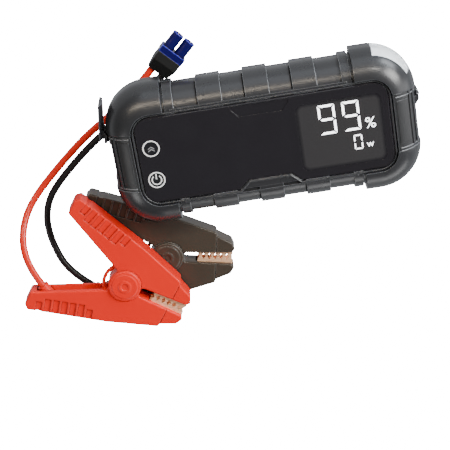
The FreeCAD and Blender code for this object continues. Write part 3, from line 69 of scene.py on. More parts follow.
def add_camera():
    """The camera goes where the face's middle shows at its pixel, and is turned to the face's angles."""
    data = bpy.data.cameras.new("camera")
    data.lens = LENS
    data.sensor_width = SENSOR
    data.clip_end = FAR_CLIP
    turn = Matrix.Rotation(FACE_TURN, 3, "Y")
    tilt = Matrix.Rotation(FACE_TILT, 3, "X")
    roll = Matrix.Rotation(FACE_ROLL, 3, "Z")
    focal = LENS / SENSOR * PICTURE
    across = (FACE_PIXEL[0] - PICTURE / 2) / focal * CAMERA_AWAY
    down = (FACE_PIXEL[1] - PICTURE / 2) / focal * CAMERA_AWAY
    facing = (roll @ tilt @ turn).transposed()
    place = FACE_MIDDLE - facing @ Vector((across, -down, -CAMERA_AWAY))
    camera = bpy.data.objects.new("camera", data)
    camera.matrix_world = Matrix.Translation(place) @ facing.to_4x4()
    bpy.context.scene.collection.objects.link(camera)
    bpy.context.scene.camera = camera


# Cords: they lie loose from the clamps to the plug's boot, on the routes of their solids

RED_ROUTE = [
    (-183.1, -92.3, 28.8), (-188.2, -81.5, 28.8),
    (-192.0, -64.7, 25.8), (-190.8, -51.5, 19.2), (-186.0, -39.8, 11.6), (-177.5, -29.3, 5.6),
    (-167.0, -19.6, 2.8), (-155.5, -9.3, 2.8), (-143.4, 1.0, 2.8), (-130.8, 10.8, 2.8),
    (-118.0, 19.0, 2.8), (-105.3, 27.3, 2.8), (-93.3, 36.3, 2.8),
    (-81.6, 46.9, 4.0), (-72.8, 55.1, 4.0),
]
BLACK_ROUTE = [
    (-146.8, -108.25, 10.5), (-155.1, -101.0, 10.5),
    (-166.2, -87.8, 8.2), (-171.1, -75.6, 4.6), (-173.8, -62.0, 2.8), (-173.2, -48.0, 2.8),
    (-168.6, -34.8, 2.8), (-159.8, -23.6, 2.8), (-149.0, -13.4, 2.8), (-137.8, -3.8, 2.8),
    (-126.3, 5.0, 2.8), (-114.6, 12.8, 2.8), (-103.3, 19.8, 2.8), (-93.2, 26.4, 2.8),
    (-84.0, 33.0, 2.8), (-74.7, 41.0, 4.0), (-66.7, 48.5, 4.0),
]
CORD_DIAMETER = 5.5 * MM


def add_cord(name, route, finish, stands_for):
    """One smooth round lead on its route, with the plug and its boot at the far end."""
    curve = bpy.data.curves.new(name, "CURVE")
    curve.dimensions = "3D"
    curve.bevel_depth = CORD_DIAMETER / 2
    curve.bevel_resolution = 6
    curve.resolution_u = 8
    curve.use_fill_caps = True
    spline = curve.splines.new("NURBS")
    spline.points.add(len(route) - 1)
    for point, spot in zip(spline.points, route):
        point.co = (*(Vector(spot) * MM), 1)
    spline.order_u = 3
    spline.use_endpoint_u = True
    cord = bpy.data.objects.new(name, curve)
    bpy.context.scene.collection.objects.link(cord)
    curve.materials.append(FINISHES[finish])
    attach(cord, "root")
    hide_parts(stands_for)
    tuple(Vector(route[0]) * MM)


# Materials

# Pattern sizes, depths and reaches in millimetres
DRIFT_SIZE = 60
RUB_SIZE = 14
SMEAR_SIZE = 25
HAZE_SIZE = 30
FLOW_SIZE = 6
GRAIN_DEPTH = 0.1
STREAK_DEPTH = 0.05
FINE_EDGE = 0.2
PAINTED_SHADE_REACH = 2.2
# How much smoother and duller than its middle roughness a surface gets
RUB_SMOOTHER = 0.07
RUB_DULLER = 0.09
STREAK_SMOOTHER = 0.08
STREAK_DULLER = 0.12
# Streaks run along X, so the pattern is stretched that way.
STREAK_STRETCH = (0.08, 1, 1)
# The open share, from 0 to 1, at which an edge's wear and painted highlight and a seam's painted shade
# begin, and at which they are whole
EDGE_BEGINS = 0.9
EDGE_WHOLE = 0.45
PAINTED_SHADE_BEGINS = 0.85
PAINTED_SHADE_WHOLE = 0.45
OCCLUSION_SAMPLES = 12
EDGE_SAMPLES = 8
# The places of a Mix node's colours at factors 0 and 1, and of its mixed colour
AT_ZERO = 6
AT_ONE = 7
MIXED = 2
# The display behind the smoked window: its middle, its half sizes, and the rim that fades round it
WINDOW_X = 55.0
WINDOW_Y = -0.8
WINDOW_HALF_X = 30.3
WINDOW_HALF_Y = 25.0
DISPLAY_RIM = 2.6
DISPLAY_CORNER = 3.0
WINDOW_SMOOTH = 0.13
WINDOW_DULL = 0.22
GLOW_DRIFT = 0.1


def linear(code):
    """An sRGB hex colour as linear RGBA."""
    values = [int(code[i:i + 2], 16) / 255 for i in (1, 3, 5)]
    return tuple(v / 12.92 if v <= 0.04045 else ((v + 0.055) / 1.055) ** 2.4 for v in values) + (1,)


def add(tree, kind, settings=None):
    """A node with its settings: an output given for an input is linked, and a number is an input's place."""
    node = tree.nodes.new(kind)
    for key, value in (settings or {}).items():
        if isinstance(value, bpy.types.NodeSocket):
            tree.links.new(value, node.inputs[key])
        elif isinstance(key, str) and hasattr(node, key):
            setattr(node, key, value)
        else:
            node.inputs[key].default_value = value
    return node


def blank(name, colour, roughness, shine=0.5, metallic=0.0):
    """A material with its even numbers on the shader's own sockets."""
    material = bpy.data.materials.new(name)
    material.use_nodes = True
    shader = material.node_tree.nodes["Principled BSDF"]
    shader.inputs["Base Color"].default_value = linear(colour)
    shader.inputs["Roughness"].default_value = roughness
    shader.inputs["Metallic"].default_value = metallic
    shader.inputs["Specular IOR Level"].default_value = shine
    return material, material.node_tree, shader


def per_metre(size_mm):
    """The texture scale that repeats once in the given size."""
    return 1000.0 / size_mm


def outer_edge(tree, reach_mm):
    """1 at a piece's outward edges, where handling wear and a painted highlight make the surface paler, and
    0 on its open faces.
    """
    inside = add(tree, "ShaderNodeAmbientOcclusion", {"inside": True, "only_local": True,
                                                      "samples": OCCLUSION_SAMPLES,
                                                      "Distance": reach_mm * MM})
    near = add(tree, "ShaderNodeMapRange",
               {"From Min": EDGE_BEGINS, "From Max": EDGE_WHOLE, "Value": inside.outputs["AO"]})
    return near.outputs["Result"]


def painted_seam_shade(tree):
    """0 deep in a seam or at a step's foot, where painted shade darkens the colour, and 1 in the open."""
    outside = add(tree, "ShaderNodeAmbientOcclusion", {"only_local": True, "samples": OCCLUSION_SAMPLES,
                                                       "Distance": PAINTED_SHADE_REACH * MM})
    clear = add(tree, "ShaderNodeMapRange",
                {"From Min": PAINTED_SHADE_WHOLE, "From Max": PAINTED_SHADE_BEGINS, "Value": outside.outputs["AO"]})
    return clear.outputs["Result"]


def moulded(name, colour, drift_to, edge_wear_and_highlight, roughness, grain_mm, relief,
            shine=0.4, edge_mm=0.5, reach_mm=0.9, painted_seam_colour=None):
    """Moulded plastic or rubber: mould grain, slow drift of tone, edges painted paler for wear and a painted
    highlight, and painted shade in seams.
    """
    material, tree, shader = blank(name, colour, roughness, shine)
    place = add(tree, "ShaderNodeTexCoord").outputs["Object"]
    drift = add(tree, "ShaderNodeTexNoise", {"Scale": per_metre(DRIFT_SIZE), "Detail": 3.0, "Vector": place})
    body = add(tree, "ShaderNodeMix", {"data_type": "RGBA", "Factor": drift.outputs["Fac"],
                                       AT_ZERO: linear(colour), AT_ONE: linear(drift_to)})
    # Painted shade: deep in seams and at steps' feet the colour darkens to the seam colour.
    if painted_seam_colour:
        body = add(tree, "ShaderNodeMix", {"data_type": "RGBA", "Factor": painted_seam_shade(tree),
                                           AT_ZERO: linear(painted_seam_colour), AT_ONE: body.outputs[MIXED]})
    # Outward edges painted paler: partly handling wear, partly a painted highlight.
    worn_and_lit = add(tree, "ShaderNodeMix", {"data_type": "RGBA", "Factor": outer_edge(tree, reach_mm),
                                       AT_ZERO: body.outputs[MIXED], AT_ONE: linear(edge_wear_and_highlight)})
    tree.links.new(worn_and_lit.outputs[MIXED], shader.inputs["Base Color"])
    rub = add(tree, "ShaderNodeTexNoise", {"Scale": per_metre(RUB_SIZE), "Detail": 4.0, "Vector": place})
    rough = add(tree, "ShaderNodeMapRange", {"To Min": roughness - RUB_SMOOTHER,
                                             "To Max": roughness + RUB_DULLER, "Value": rub.outputs["Fac"]})
    tree.links.new(rough.outputs["Result"], shader.inputs["Roughness"])
    grain = add(tree, "ShaderNodeTexNoise", {"Scale": per_metre(grain_mm), "Detail": 2.0, "Vector": place})
    eased = add(tree, "ShaderNodeBevel", {"samples": EDGE_SAMPLES, "Radius": edge_mm * MM})
    bump = add(tree, "ShaderNodeBump", {"Strength": relief, "Distance": GRAIN_DEPTH * MM,
                                        "Height": grain.outputs["Fac"], "Normal": eased.outputs["Normal"]})
    tree.links.new(bump.outputs["Normal"], shader.inputs["Normal"])
    return material


def drawn_metal(name, colour, roughness, streak_mm, metallic=1.0):
    """Drawn or stamped metal with fine streaks; a dull plate is less than wholly metallic."""
    material, tree, shader = blank(name, colour, roughness, metallic=metallic)
    place = add(tree, "ShaderNodeTexCoord").outputs["Object"]
    stretch = add(tree, "ShaderNodeMapping", {"Scale": STREAK_STRETCH, "Vector": place})
    streak = add(tree, "ShaderNodeTexNoise", {"Scale": per_metre(streak_mm), "Detail": 3.0,
                                              "Vector": stretch.outputs["Vector"]})
    rough = add(tree, "ShaderNodeMapRange", {"To Min": roughness - STREAK_SMOOTHER,
                                             "To Max": roughness + STREAK_DULLER,
                                             "Value": streak.outputs["Fac"]})
    tree.links.new(rough.outputs["Result"], shader.inputs["Roughness"])
    eased = add(tree, "ShaderNodeBevel", {"samples": EDGE_SAMPLES, "Radius": FINE_EDGE * MM})
    bump = add(tree, "ShaderNodeBump", {"Strength": 0.15, "Distance": STREAK_DEPTH * MM,
                                        "Height": streak.outputs["Fac"], "Normal": eased.outputs["Normal"]})
    tree.links.new(bump.outputs["Normal"], shader.inputs["Normal"])
    return material


def polished(name, colour, drift_to, roughness, smear):
    """Polished cast acrylic with faint handling smears."""
    material, tree, shader = blank(name, colour, roughness, shine=0.45)
    place = add(tree, "ShaderNodeTexCoord").outputs["Object"]
    haze = add(tree, "ShaderNodeTexNoise", {"Scale": per_metre(SMEAR_SIZE), "Detail": 5.0, "Vector": place})
    rough = add(tree, "ShaderNodeMapRange", {"To Min": roughness, "To Max": roughness + smear,
                                             "Value": haze.outputs["Fac"]})
    tree.links.new(rough.outputs["Result"], shader.inputs["Roughness"])
    body = add(tree, "ShaderNodeMix", {"data_type": "RGBA", "Factor": haze.outputs["Fac"],
                                       AT_ZERO: linear(colour), AT_ONE: linear(drift_to)})
    tree.links.new(body.outputs[MIXED], shader.inputs["Base Color"])
    eased = add(tree, "ShaderNodeBevel", {"samples": EDGE_SAMPLES, "Radius": FINE_EDGE * MM})
    tree.links.new(eased.outputs["Normal"], shader.inputs["Normal"])
    return material


def smoked(name, middle, border):
    """Smoked acrylic: paler where the display stands behind it, with round corners, and dark at its rim."""
    material, tree, shader = blank(name, middle, roughness=0.16, shine=0.35)
    place = add(tree, "ShaderNodeTexCoord").outputs["Object"]
    spot = add(tree, "ShaderNodeSeparateXYZ", {"Vector": place})
    past = []
    for axis, centre, half in (("X", WINDOW_X, WINDOW_HALF_X), ("Y", WINDOW_Y, WINDOW_HALF_Y)):
        inner = half - DISPLAY_RIM - DISPLAY_CORNER
        side = add(tree, "ShaderNodeMath", {"operation": "SUBTRACT", 0: spot.outputs[axis], 1: centre * MM})
        far = add(tree, "ShaderNodeMath", {"operation": "ABSOLUTE", 0: side.outputs["Value"]})
        more = add(tree, "ShaderNodeMath", {"operation": "SUBTRACT", 0: far.outputs["Value"], 1: inner * MM})
        over = add(tree, "ShaderNodeMath", {"operation": "MAXIMUM", 0: more.outputs["Value"], 1: 0})
        past.append(over.outputs["Value"])
    corner = add(tree, "ShaderNodeCombineXYZ", {"X": past[0], "Y": past[1]})
    reach = add(tree, "ShaderNodeVectorMath", {"operation": "LENGTH", 0: corner.outputs["Vector"]})
    rim = add(tree, "ShaderNodeMapRange", {"From Min": DISPLAY_CORNER * MM,
                                           "From Max": (DISPLAY_CORNER + DISPLAY_RIM) * MM,
                                           "Value": reach.outputs["Value"]})
    tone = add(tree, "ShaderNodeMix", {"data_type": "RGBA", "Factor": rim.outputs["Result"],
                                       AT_ZERO: linear(middle), AT_ONE: linear(border)})
    tree.links.new(tone.outputs[MIXED], shader.inputs["Base Color"])
    haze = add(tree, "ShaderNodeTexNoise", {"Scale": per_metre(HAZE_SIZE), "Detail": 4.0, "Vector": place})
    rough = add(tree, "ShaderNodeMapRange", {"To Min": WINDOW_SMOOTH, "To Max": WINDOW_DULL,
                                             "Value": haze.outputs["Fac"]})
    tree.links.new(rough.outputs["Result"], shader.inputs["Roughness"])
    return material


def lit(name, colour, strength, uneven_mm):
    """A lit display segment, its light a little uneven across the diffuser."""
    material, tree, shader = blank(name, colour, roughness=0.4)
    shader.inputs["Emission Color"].default_value = linear(colour)
    place = add(tree, "ShaderNodeTexCoord").outputs["Object"]
    uneven = add(tree, "ShaderNodeTexNoise", {"Scale": per_metre(uneven_mm), "Detail": 1.0, "Vector": place})
    glow = add(tree, "ShaderNodeMapRange", {"To Min": strength * (1 - GLOW_DRIFT),
                                            "To Max": strength * (1 + GLOW_DRIFT),
                                            "Value": uneven.outputs["Fac"]})
    tree.links.new(glow.outputs["Result"], shader.inputs["Emission Strength"])
    return material


def moulded_clear(name, colour, roughness):
    """Injection-moulded clear polycarbonate with the faint flow marks of its mould."""
    material, tree, shader = blank(name, colour, roughness)
    shader.inputs["IOR"].default_value = 1.58
    shader.inputs["Transmission Weight"].default_value = 0.6
    place = add(tree, "ShaderNodeTexCoord").outputs["Object"]
    flow = add(tree, "ShaderNodeTexNoise", {"Scale": per_metre(FLOW_SIZE), "Detail": 2.0, "Vector": place})
    bump = add(tree, "ShaderNodeBump", {"Strength": 0.2, "Distance": GRAIN_DEPTH * MM,
                                        "Height": flow.outputs["Fac"]})
    tree.links.new(bump.outputs["Normal"], shader.inputs["Normal"])
    return material


# Finishes by material slot

# Real mould grain and drawn streaks are near 0.1 mm, too fine to show, so both are drawn at 0.4 mm or more.
FINISHES = {
    # ABS with a fine spark-eroded texture: a satin charcoal, its edges painted a pale blue-grey for wear and
    # a painted highlight, and painted shade in its seams.
    "shell_plastic": moulded(
        "satin_abs_charcoal", "#28292b", drift_to="#2d2e31", edge_wear_and_highlight="#7c8086", painted_seam_colour="#0a0a0b",
        roughness=0.28, grain_mm=0.5, relief=0.1, shine=0.5, edge_mm=0.6, reach_mm=0.6),
    # Soft thermoplastic rubber on the ends: nearly black, with a duller sheen than the shell; its edges are
    # painted paler for wear and a painted highlight, and its seams get painted shade.
    "trim_rubber": moulded(
        "soft_tpe_charcoal", "#1f2022", drift_to="#252628", edge_wear_and_highlight="#5a5d62", painted_seam_colour="#0a0a0b",
        roughness=0.36, grain_mm=0.6, relief=0.3, shine=0.4, edge_mm=0.6, reach_mm=0.6),
    # The same rubber moulded thin for the port flaps: its grain shows, and it is a shade paler, a painted
    # highlight for the light the flaps catch.
    "flap_rubber": moulded(
        "thin_tpe_black", "#2a2b2e", drift_to="#303134", edge_wear_and_highlight="#5a5c60",
        roughness=0.34, grain_mm=0.6, relief=0.3, shine=0.4, edge_mm=0.6, reach_mm=0.7),
    # Thick rubber bumpers with a satin skin that takes a broad soft highlight; their edges are painted paler
    # for wear and a painted highlight, and their seams get painted shade.
    "bumper_rubber": moulded(
        "satin_tpe_charcoal", "#262729", drift_to="#2b2c2f", edge_wear_and_highlight="#4f5257", painted_seam_colour="#0a0a0b",
        roughness=0.28, grain_mm=0.6, relief=0.1, shine=0.5, edge_mm=0.8, reach_mm=0.6),
    # Polished acrylic printed black behind: a deep navy-black gloss.
    "panel_gloss": polished(
        "back_printed_acrylic", "#1d1b1f", drift_to="#212024", roughness=0.16, smear=0.08),
    # Smoked acrylic over the display: a brown-grey gloss that darkens to the panel's black at its rim.
    "smoked_window": smoked("smoked_acrylic", middle="#323133", border="#1c1b1f"),
    # Lit segments behind a white diffuser: bright white, hardly uneven.
    "digit_white": lit("lit_white_segment", "#fbfcff", strength=3.6, uneven_mm=4),
    # Matt black ABS inside the display, which gives no glint behind the window.
    "display_black": moulded(
        "matt_abs_black", "#161617", drift_to="#1d1d1f", edge_wear_and_highlight="#2a2a2c",
        roughness=0.5, grain_mm=0.5, relief=0.2),
    # Epoxy glass board under green solder mask: a half-gloss green with a slightly uneven skin.
    "circuit_board": moulded(
        "solder_mask_green", "#0f4a2a", drift_to="#155c34", edge_wear_and_highlight="#2a7048",
        roughness=0.35, grain_mm=1.2, relief=0.2),
    # Silicone button caps, level with the panel and as dark, but without its gloss.
    "button_rubber": moulded(
        "silicone_black", "#121216", drift_to="#17171b", edge_wear_and_highlight="#1c1c20",
        roughness=0.4, grain_mm=0.4, relief=0.15),
    # Clear polycarbonate lens of the lamp: pale and smooth, with soft ripples.
    "clear_lens": moulded_clear("clear_polycarbonate", "#eef2f6", roughness=0.2),
    # Vacuum-metallised reflector behind the lens: a bright, slightly blurred mirror.
    "reflector": drawn_metal("metallised_reflector", "#f2f2f2", roughness=0.3, streak_mm=2.0),
    # Yellow phosphor over the lamp's diodes: a flat powdery yellow.
    "led_yellow": moulded(
        "led_phosphor", "#e8c84c", drift_to="#f0d878", edge_wear_and_highlight="#f6e6a0",
        roughness=0.4, grain_mm=0.5, relief=0.1),
    # Silicone seal between the housing halves: dull black.
    "gasket_rubber": moulded(
        "silicone_seal_black", "#1c1c1d", drift_to="#242425", edge_wear_and_highlight="#303032",
        roughness=0.6, grain_mm=0.6, relief=0.3),
    # Bright zinc plate on the steel screws, pins and shells: a cool grey with fine streaks.
    "steel": drawn_metal("zinc_plated_steel", "#a8aab0", roughness=0.32, streak_mm=0.8),
    # Hard-drawn spring wire: a darker grey with fine streaks.
    "spring_steel": drawn_metal("spring_wire", "#8d8f94", roughness=0.35, streak_mm=0.8),
    # Glass-filled nylon of the plug: a strong royal blue, its edges painted a paler blue for wear and a
    # painted highlight, and painted shade in its seams.
    "connector_blue": moulded(
        "royal_blue_nylon", "#0e0648", drift_to="#120a56", edge_wear_and_highlight="#4448d8", painted_seam_colour="#03021a",
        roughness=0.28, grain_mm=0.5, relief=0.15, shine=0.3, edge_mm=0.5, reach_mm=0.7),
    # Gilt over brass contacts: a warm pale gold.
    "contact_brass": drawn_metal("gilt_brass", "#e2bd7c", roughness=0.25, streak_mm=0.8),
    # Shrunk film on the cells: a glossy mid blue.
    "cell_wrap": moulded(
        "shrink_film_blue", "#3a5f9a", drift_to="#456cab", edge_wear_and_highlight="#6c8cc4",
        roughness=0.3, grain_mm=2.0, relief=0.1),
    # Copper plate on stamped jaws: a pale peach metal that glints on its teeth.
    "copper": drawn_metal("copper_plate", "#ffcfa6", roughness=0.26, streak_mm=0.8, metallic=0.35),
    # Soft PVC boot behind the plug: black with a dull sheen.
    "boot_black": moulded(
        "soft_pvc_black", "#151617", drift_to="#1b1c1d", edge_wear_and_highlight="#3a3c3e",
        roughness=0.45, grain_mm=0.6, relief=0.25, shine=0.4),
    # Glass-filled nylon of the black clamp: a warm brown-black with a low sheen; its edges are painted paler
    # for wear and a painted highlight, and its seams get painted shade.
    "black_nylon": moulded(
        "glass_filled_nylon_brown_black", "#39322b", drift_to="#433b32", edge_wear_and_highlight="#625e58", painted_seam_colour="#0c0b0a",
        roughness=0.34, grain_mm=0.5, relief=0.2, shine=0.45, edge_mm=1.0, reach_mm=0.7),
    # The same nylon coloured red: a warm signal red, with painted shade deeper in its grooves and edges
    # painted paler for wear and a painted highlight.
    "red_nylon": moulded(
        "glass_filled_nylon_red", "#dc1c0c", drift_to="#e2220f", edge_wear_and_highlight="#ea3420", painted_seam_colour="#8c0d05",
        roughness=0.36, grain_mm=0.5, relief=0.15, shine=0.3, edge_mm=1.0, reach_mm=0.7),
    # Silicone over the red stranded wire, smooth and a little shiny.
    "lead_red": moulded(
        "silicone_red", "#d4220f", drift_to="#da2a14", edge_wear_and_highlight="#e23a22",
        roughness=0.3, grain_mm=0.8, relief=0.1, shine=0.4),
    # Silicone over the black stranded wire, a little duller than the red.
    "lead_black": moulded(
        "silicone_lead_black", "#151516", drift_to="#1b1b1c", edge_wear_and_highlight="#29292b",
        roughness=0.34, grain_mm=0.8, relief=0.1, shine=0.4),
}
# White pad-printing ink on the buttons: flat and even.
WHITE_INK = moulded(
    "white_pad_print", "#e6e6e8", drift_to="#f0f0f2", edge_wear_and_highlight="#f4f4f6",
    roughness=0.5, grain_mm=0.5, relief=0.1)
# Grey pad-printing ink, thin enough for the black cap to dim it.
GREY_INK = moulded(
    "grey_pad_print", "#77787c", drift_to="#808186", edge_wear_and_highlight="#8a8b90",
    roughness=0.5, grain_mm=0.5, relief=0.1)
# White PBT of the connector tongues, plain and unlit.
WHITE_PLASTIC = moulded(
    "white_pbt", "#dcdcd8", drift_to="#e4e4e0", edge_wear_and_highlight="#f0f0ee",
    roughness=0.4, grain_mm=0.5, relief=0.1)
# Thin arcs of the rubber ends painted a pale grey: a painted highlight where their crowns catch the light.
PAINTED_HIGHLIGHT_RUBBER = moulded(
    "painted_highlight_tpe_grey", "#54565a", drift_to="#5e6064", edge_wear_and_highlight="#8c8e92",
    roughness=0.32, grain_mm=0.6, relief=0.1, shine=0.5, edge_mm=0.6, reach_mm=0.6)
# Near-black with hardly any sheen: a painted shadow laid where each block's shaded left face shows as a dark
# line.
PAINTED_SHADOW_RUBBER = moulded(
    "painted_shadow_black", "#0b0b0c", drift_to="#101011", edge_wear_and_highlight="#161617",
    roughness=0.7, grain_mm=0.6, relief=0.1, shine=0.15)

# The tongues share the digits' white slot, but they aren't lit.
OWN_FINISH = {"usb_tongues": WHITE_PLASTIC}


def dress_nodes():
    """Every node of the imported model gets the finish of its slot, or its own."""
    for part in frame["record"]["subparts"]:
        node = NODES[part["node"]]
        node.data.materials.clear()
        node.data.materials.append(OWN_FINISH.get(part["node"], FINISHES[part["material_slot"]]))


# New pieces: each is built in millimetres, then scaled, and rides on what carries it

MERGE = 0.001
FLAT_WITHIN = radians(1)
SIDES = (("lamp_side", 1), ("far_side", -1))
ENDS = (("left", -1), ("right", 1))


def finish_piece(name, shape, body, slot, finish=None):
    """A bmesh in millimetres as a piece with its finish, merged and with its faces outwards."""
    bmesh.ops.remove_doubles(shape, verts=shape.verts, dist=MERGE)
    bmesh.ops.recalc_face_normals(shape, faces=shape.faces)
    bmesh.ops.scale(shape, vec=(MM, MM, MM), verts=shape.verts)
    mesh = bpy.data.meshes.new(name)
    shape.to_mesh(mesh)
    shape.free()
    piece = bpy.data.objects.new(name, mesh)
    bpy.context.scene.collection.objects.link(piece)
    mesh.materials.append(finish or FINISHES[slot])
    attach(piece, body)
    return piece


def new_verts(made):
    """The corners that an operator made."""
    return [item for item in made["geom"] if isinstance(item, bmesh.types.BMVert)]


def new_edges(made):
    """The edges that an operator made."""
    return [item for item in made["geom"] if isinstance(item, bmesh.types.BMEdge)]


def close_openings(shape):
    """Every open loop of edges gets its face."""
    bmesh.ops.holes_fill(shape, edges=[edge for edge in shape.edges if edge.is_boundary], sides=0)


def carried(corners, way):
    """A flat outline carried straight along a way, as a closed shape."""
    shape = bmesh.new()
    face = shape.faces.new([shape.verts.new(corner) for corner in corners])
    made = bmesh.ops.extrude_face_region(shape, geom=[face], use_keep_orig=True)
    bmesh.ops.translate(shape, vec=way, verts=new_verts(made))
    return shape


def joined(shapes):
    """Several shapes in one bmesh."""
    whole = bmesh.new()
    for shape in shapes:
        mesh = bpy.data.meshes.new("part")
        shape.to_mesh(mesh)
        shape.free()
        whole.from_mesh(mesh)
        bpy.data.meshes.remove(mesh)
    return whole


def moved(shape, x, y, z=0.0):
    """The shape, shifted to its place."""
    bmesh.ops.translate(shape, vec=(x, y, z), verts=shape.verts)
    return shape


def extent(verts):
    """The lowest and highest corners of the box round some vertices."""
    low = Vector([min(vert.co[axis] for vert in verts) for axis in range(3)])
    high = Vector([max(vert.co[axis] for vert in verts) for axis in range(3)])
    return low, high


def node_shape(name):
    """A copy of a node's mesh in millimetres, merged, with its flat faces whole."""
    shape = bmesh.new()
    shape.from_mesh(NODES[name].data)
    bmesh.ops.scale(shape, vec=(1 / MM, 1 / MM, 1 / MM), verts=shape.verts)
    bmesh.ops.remove_doubles(shape, verts=shape.verts, dist=MERGE)
    bmesh.ops.dissolve_limit(shape, angle_limit=FLAT_WITHIN, verts=shape.verts, edges=shape.edges)
    return shape


# The bead that stands round the panel, in the gap between the panel and the bumpers

CORNER_STEPS = 10
CROWN_STEPS = 6
BEAD_HALF_X = 92.45
BEAD_HALF_Y = 33.75
BEAD_CORNER = 13.3
BEAD_NOTCH = [(-22.0, -33.75), (-15.0, -27.25), (15.0, -27.25), (22.0, -33.75)]
BEAD_HALF_WIDTH = 0.75
BEAD_FOOT = 47.8
BEAD_SHOULDER = 49.5


def away(spot):
    """The way outwards from the bead's rounded rectangle, at a spot on or near its line."""
    past_x = max(abs(spot.x) - BEAD_HALF_X + BEAD_CORNER, 0)
    past_y = max(abs(spot.y) - BEAD_HALF_Y + BEAD_CORNER, 0)
    way = Vector((past_x, past_y, 0)).normalized()
    return Vector((copysign(way.x, spot.x), copysign(way.y, spot.y), 0))


def notched_ring(shape):
    """The bead's line: a rounded rectangle of edges whose -Y side steps in along the notch's corners."""
    bmesh.ops.create_circle(shape, segments=CORNER_STEPS * 4, radius=BEAD_CORNER,
                            matrix=Matrix.Rotation(pi / 4 / CORNER_STEPS, 4, "Z"))
    for vert in shape.verts:
        vert.co.x += copysign(BEAD_HALF_X - BEAD_CORNER, vert.co.x)
        vert.co.y += copysign(BEAD_HALF_Y - BEAD_CORNER, vert.co.y)
    front = [edge for edge in shape.edges if all(vert.co.y < 0 for vert in edge.verts)]
    longest = max(front, key=lambda edge: edge.calc_length())
    made = bmesh.ops.subdivide_edges(shape, edges=[longest], cuts=len(BEAD_NOTCH))
    added = [item for item in made["geom_inner"] if isinstance(item, bmesh.types.BMVert)]
    for vert, (x, y) in zip(sorted(added, key=lambda vert: vert.co.x), BEAD_NOTCH):
        vert.co.x = x
        vert.co.y = y


def bead(profile):
    """A closed moulding along the notched ring; its profile is steps outwards and upwards."""
    shape = bmesh.new()
    notched_ring(shape)
    ring = list(shape.edges)
    for vert in shape.verts:
        vert.co += away(vert.co) * profile[0][0] + Vector((0, 0, profile[0][1]))
    for here, there in zip(profile, profile[1:]):
        made = bmesh.ops.extrude_edge_only(shape, edges=ring)
        for vert in new_verts(made):
            vert.co += away(vert.co) * (there[0] - here[0])
            vert.co.z += there[1] - here[1]
        ring = [edge for edge in new_edges(made) if edge.is_boundary]
    bmesh.ops.bridge_loops(shape, edges=[edge for edge in shape.edges if edge.is_boundary])
    return shape


def add_panel_bead():
    """Half-round on top, with straight sides down into the housing."""
    angles = [pi * step / CROWN_STEPS for step in range(CROWN_STEPS + 1)]
    crown = [(BEAD_HALF_WIDTH * cos(a), BEAD_SHOULDER + BEAD_HALF_WIDTH * sin(a)) for a in angles]
    profile = [(BEAD_HALF_WIDTH, BEAD_FOOT)] + crown + [(-BEAD_HALF_WIDTH, BEAD_FOOT)]
    finish_piece("panel_bead", bead(profile), "root", "shell_plastic")


# The ledges that run beside the panel under the two rounded long sides

LEDGE_HALF_LENGTH = 63.5
LEDGE_PROFILE = [(34.6, 45.0), (34.6, 49.45), (35.7, 49.45), (36.1, 49.05), (36.1, 44.0)]
LEDGE_ROUND = 0.25


def add_ledges():
    """A straight ledge on each long side, its edges eased."""
    for word, side in SIDES:
        corners = [(-LEDGE_HALF_LENGTH, y * side, z) for y, z in LEDGE_PROFILE]
        shape = carried(corners, (2 * LEDGE_HALF_LENGTH, 0, 0))
        bmesh.ops.recalc_face_normals(shape, faces=shape.faces)
        bmesh.ops.bevel(shape, geom=list(shape.edges), offset=LEDGE_ROUND, segments=2, profile=0.5,
                        material=-1, affect="EDGES", clamp_overlap=True)
        finish_piece(word + "_ledge", shape, "root", "shell_plastic")


# A near-black strip at the left foot of each raised block, laid close on the rounded side: a painted shadow
# for the block's shaded left face

BLOCK_STARTS = (-42.55, -8.65, 25.25)
SHADOW_STRIP_WIDTH = 0.95
# Its line round the side, in Y and Z, and the side's middle, from which it sinks in or stands proud
SHADOW_STRIP_LINE = [
    (36.0, 47.5), (38.0, 46.75), (40.0, 45.6), (42.0, 44.15),
    (44.0, 42.15), (46.0, 39.3), (47.9, 34.6), (48.3, 31.5),
]
SIDE_CENTRE = (33.5, 33.5)
SHADOW_STRIP_SUNK = 0.97
SHADOW_STRIP_PROUD = 1.014


def painted_shadow_strip(start, side):
    """One strip round the side, from its foot at the ledge to the outer flank."""
    shape = bmesh.new()
    centre = Matrix.Translation((0, -SIDE_CENTRE[0] * side, -SIDE_CENTRE[1]))
    line = [shape.verts.new((start - SHADOW_STRIP_WIDTH, y * side, z)) for y, z in SHADOW_STRIP_LINE]
    edges = [shape.edges.new(pair) for pair in zip(line, line[1:])]
    bmesh.ops.scale(shape, vec=(1, SHADOW_STRIP_SUNK, SHADOW_STRIP_SUNK), verts=line, space=centre)
    made = bmesh.ops.extrude_edge_only(shape, edges=edges)
    grow = SHADOW_STRIP_PROUD / SHADOW_STRIP_SUNK
    bmesh.ops.scale(shape, vec=(1, grow, grow), verts=new_verts(made), space=centre)
    made = bmesh.ops.extrude_face_region(shape, geom=list(shape.faces), use_keep_orig=True)
    bmesh.ops.translate(shape, vec=(SHADOW_STRIP_WIDTH, 0, 0), verts=new_verts(made))
    return shape


def add_painted_shadow_strips():
    """The three painted shadow strips of each long side, as one piece."""
    for word, side in SIDES:
        lines = joined([painted_shadow_strip(start, side) for start in BLOCK_STARTS])
        finish_piece(word + "_painted_shadow_strips", lines, "root", "gasket_rubber", PAINTED_SHADOW_RUBBER)


# Printing on the two button caps: a ring on each, a power sign on one and two chevrons on the other

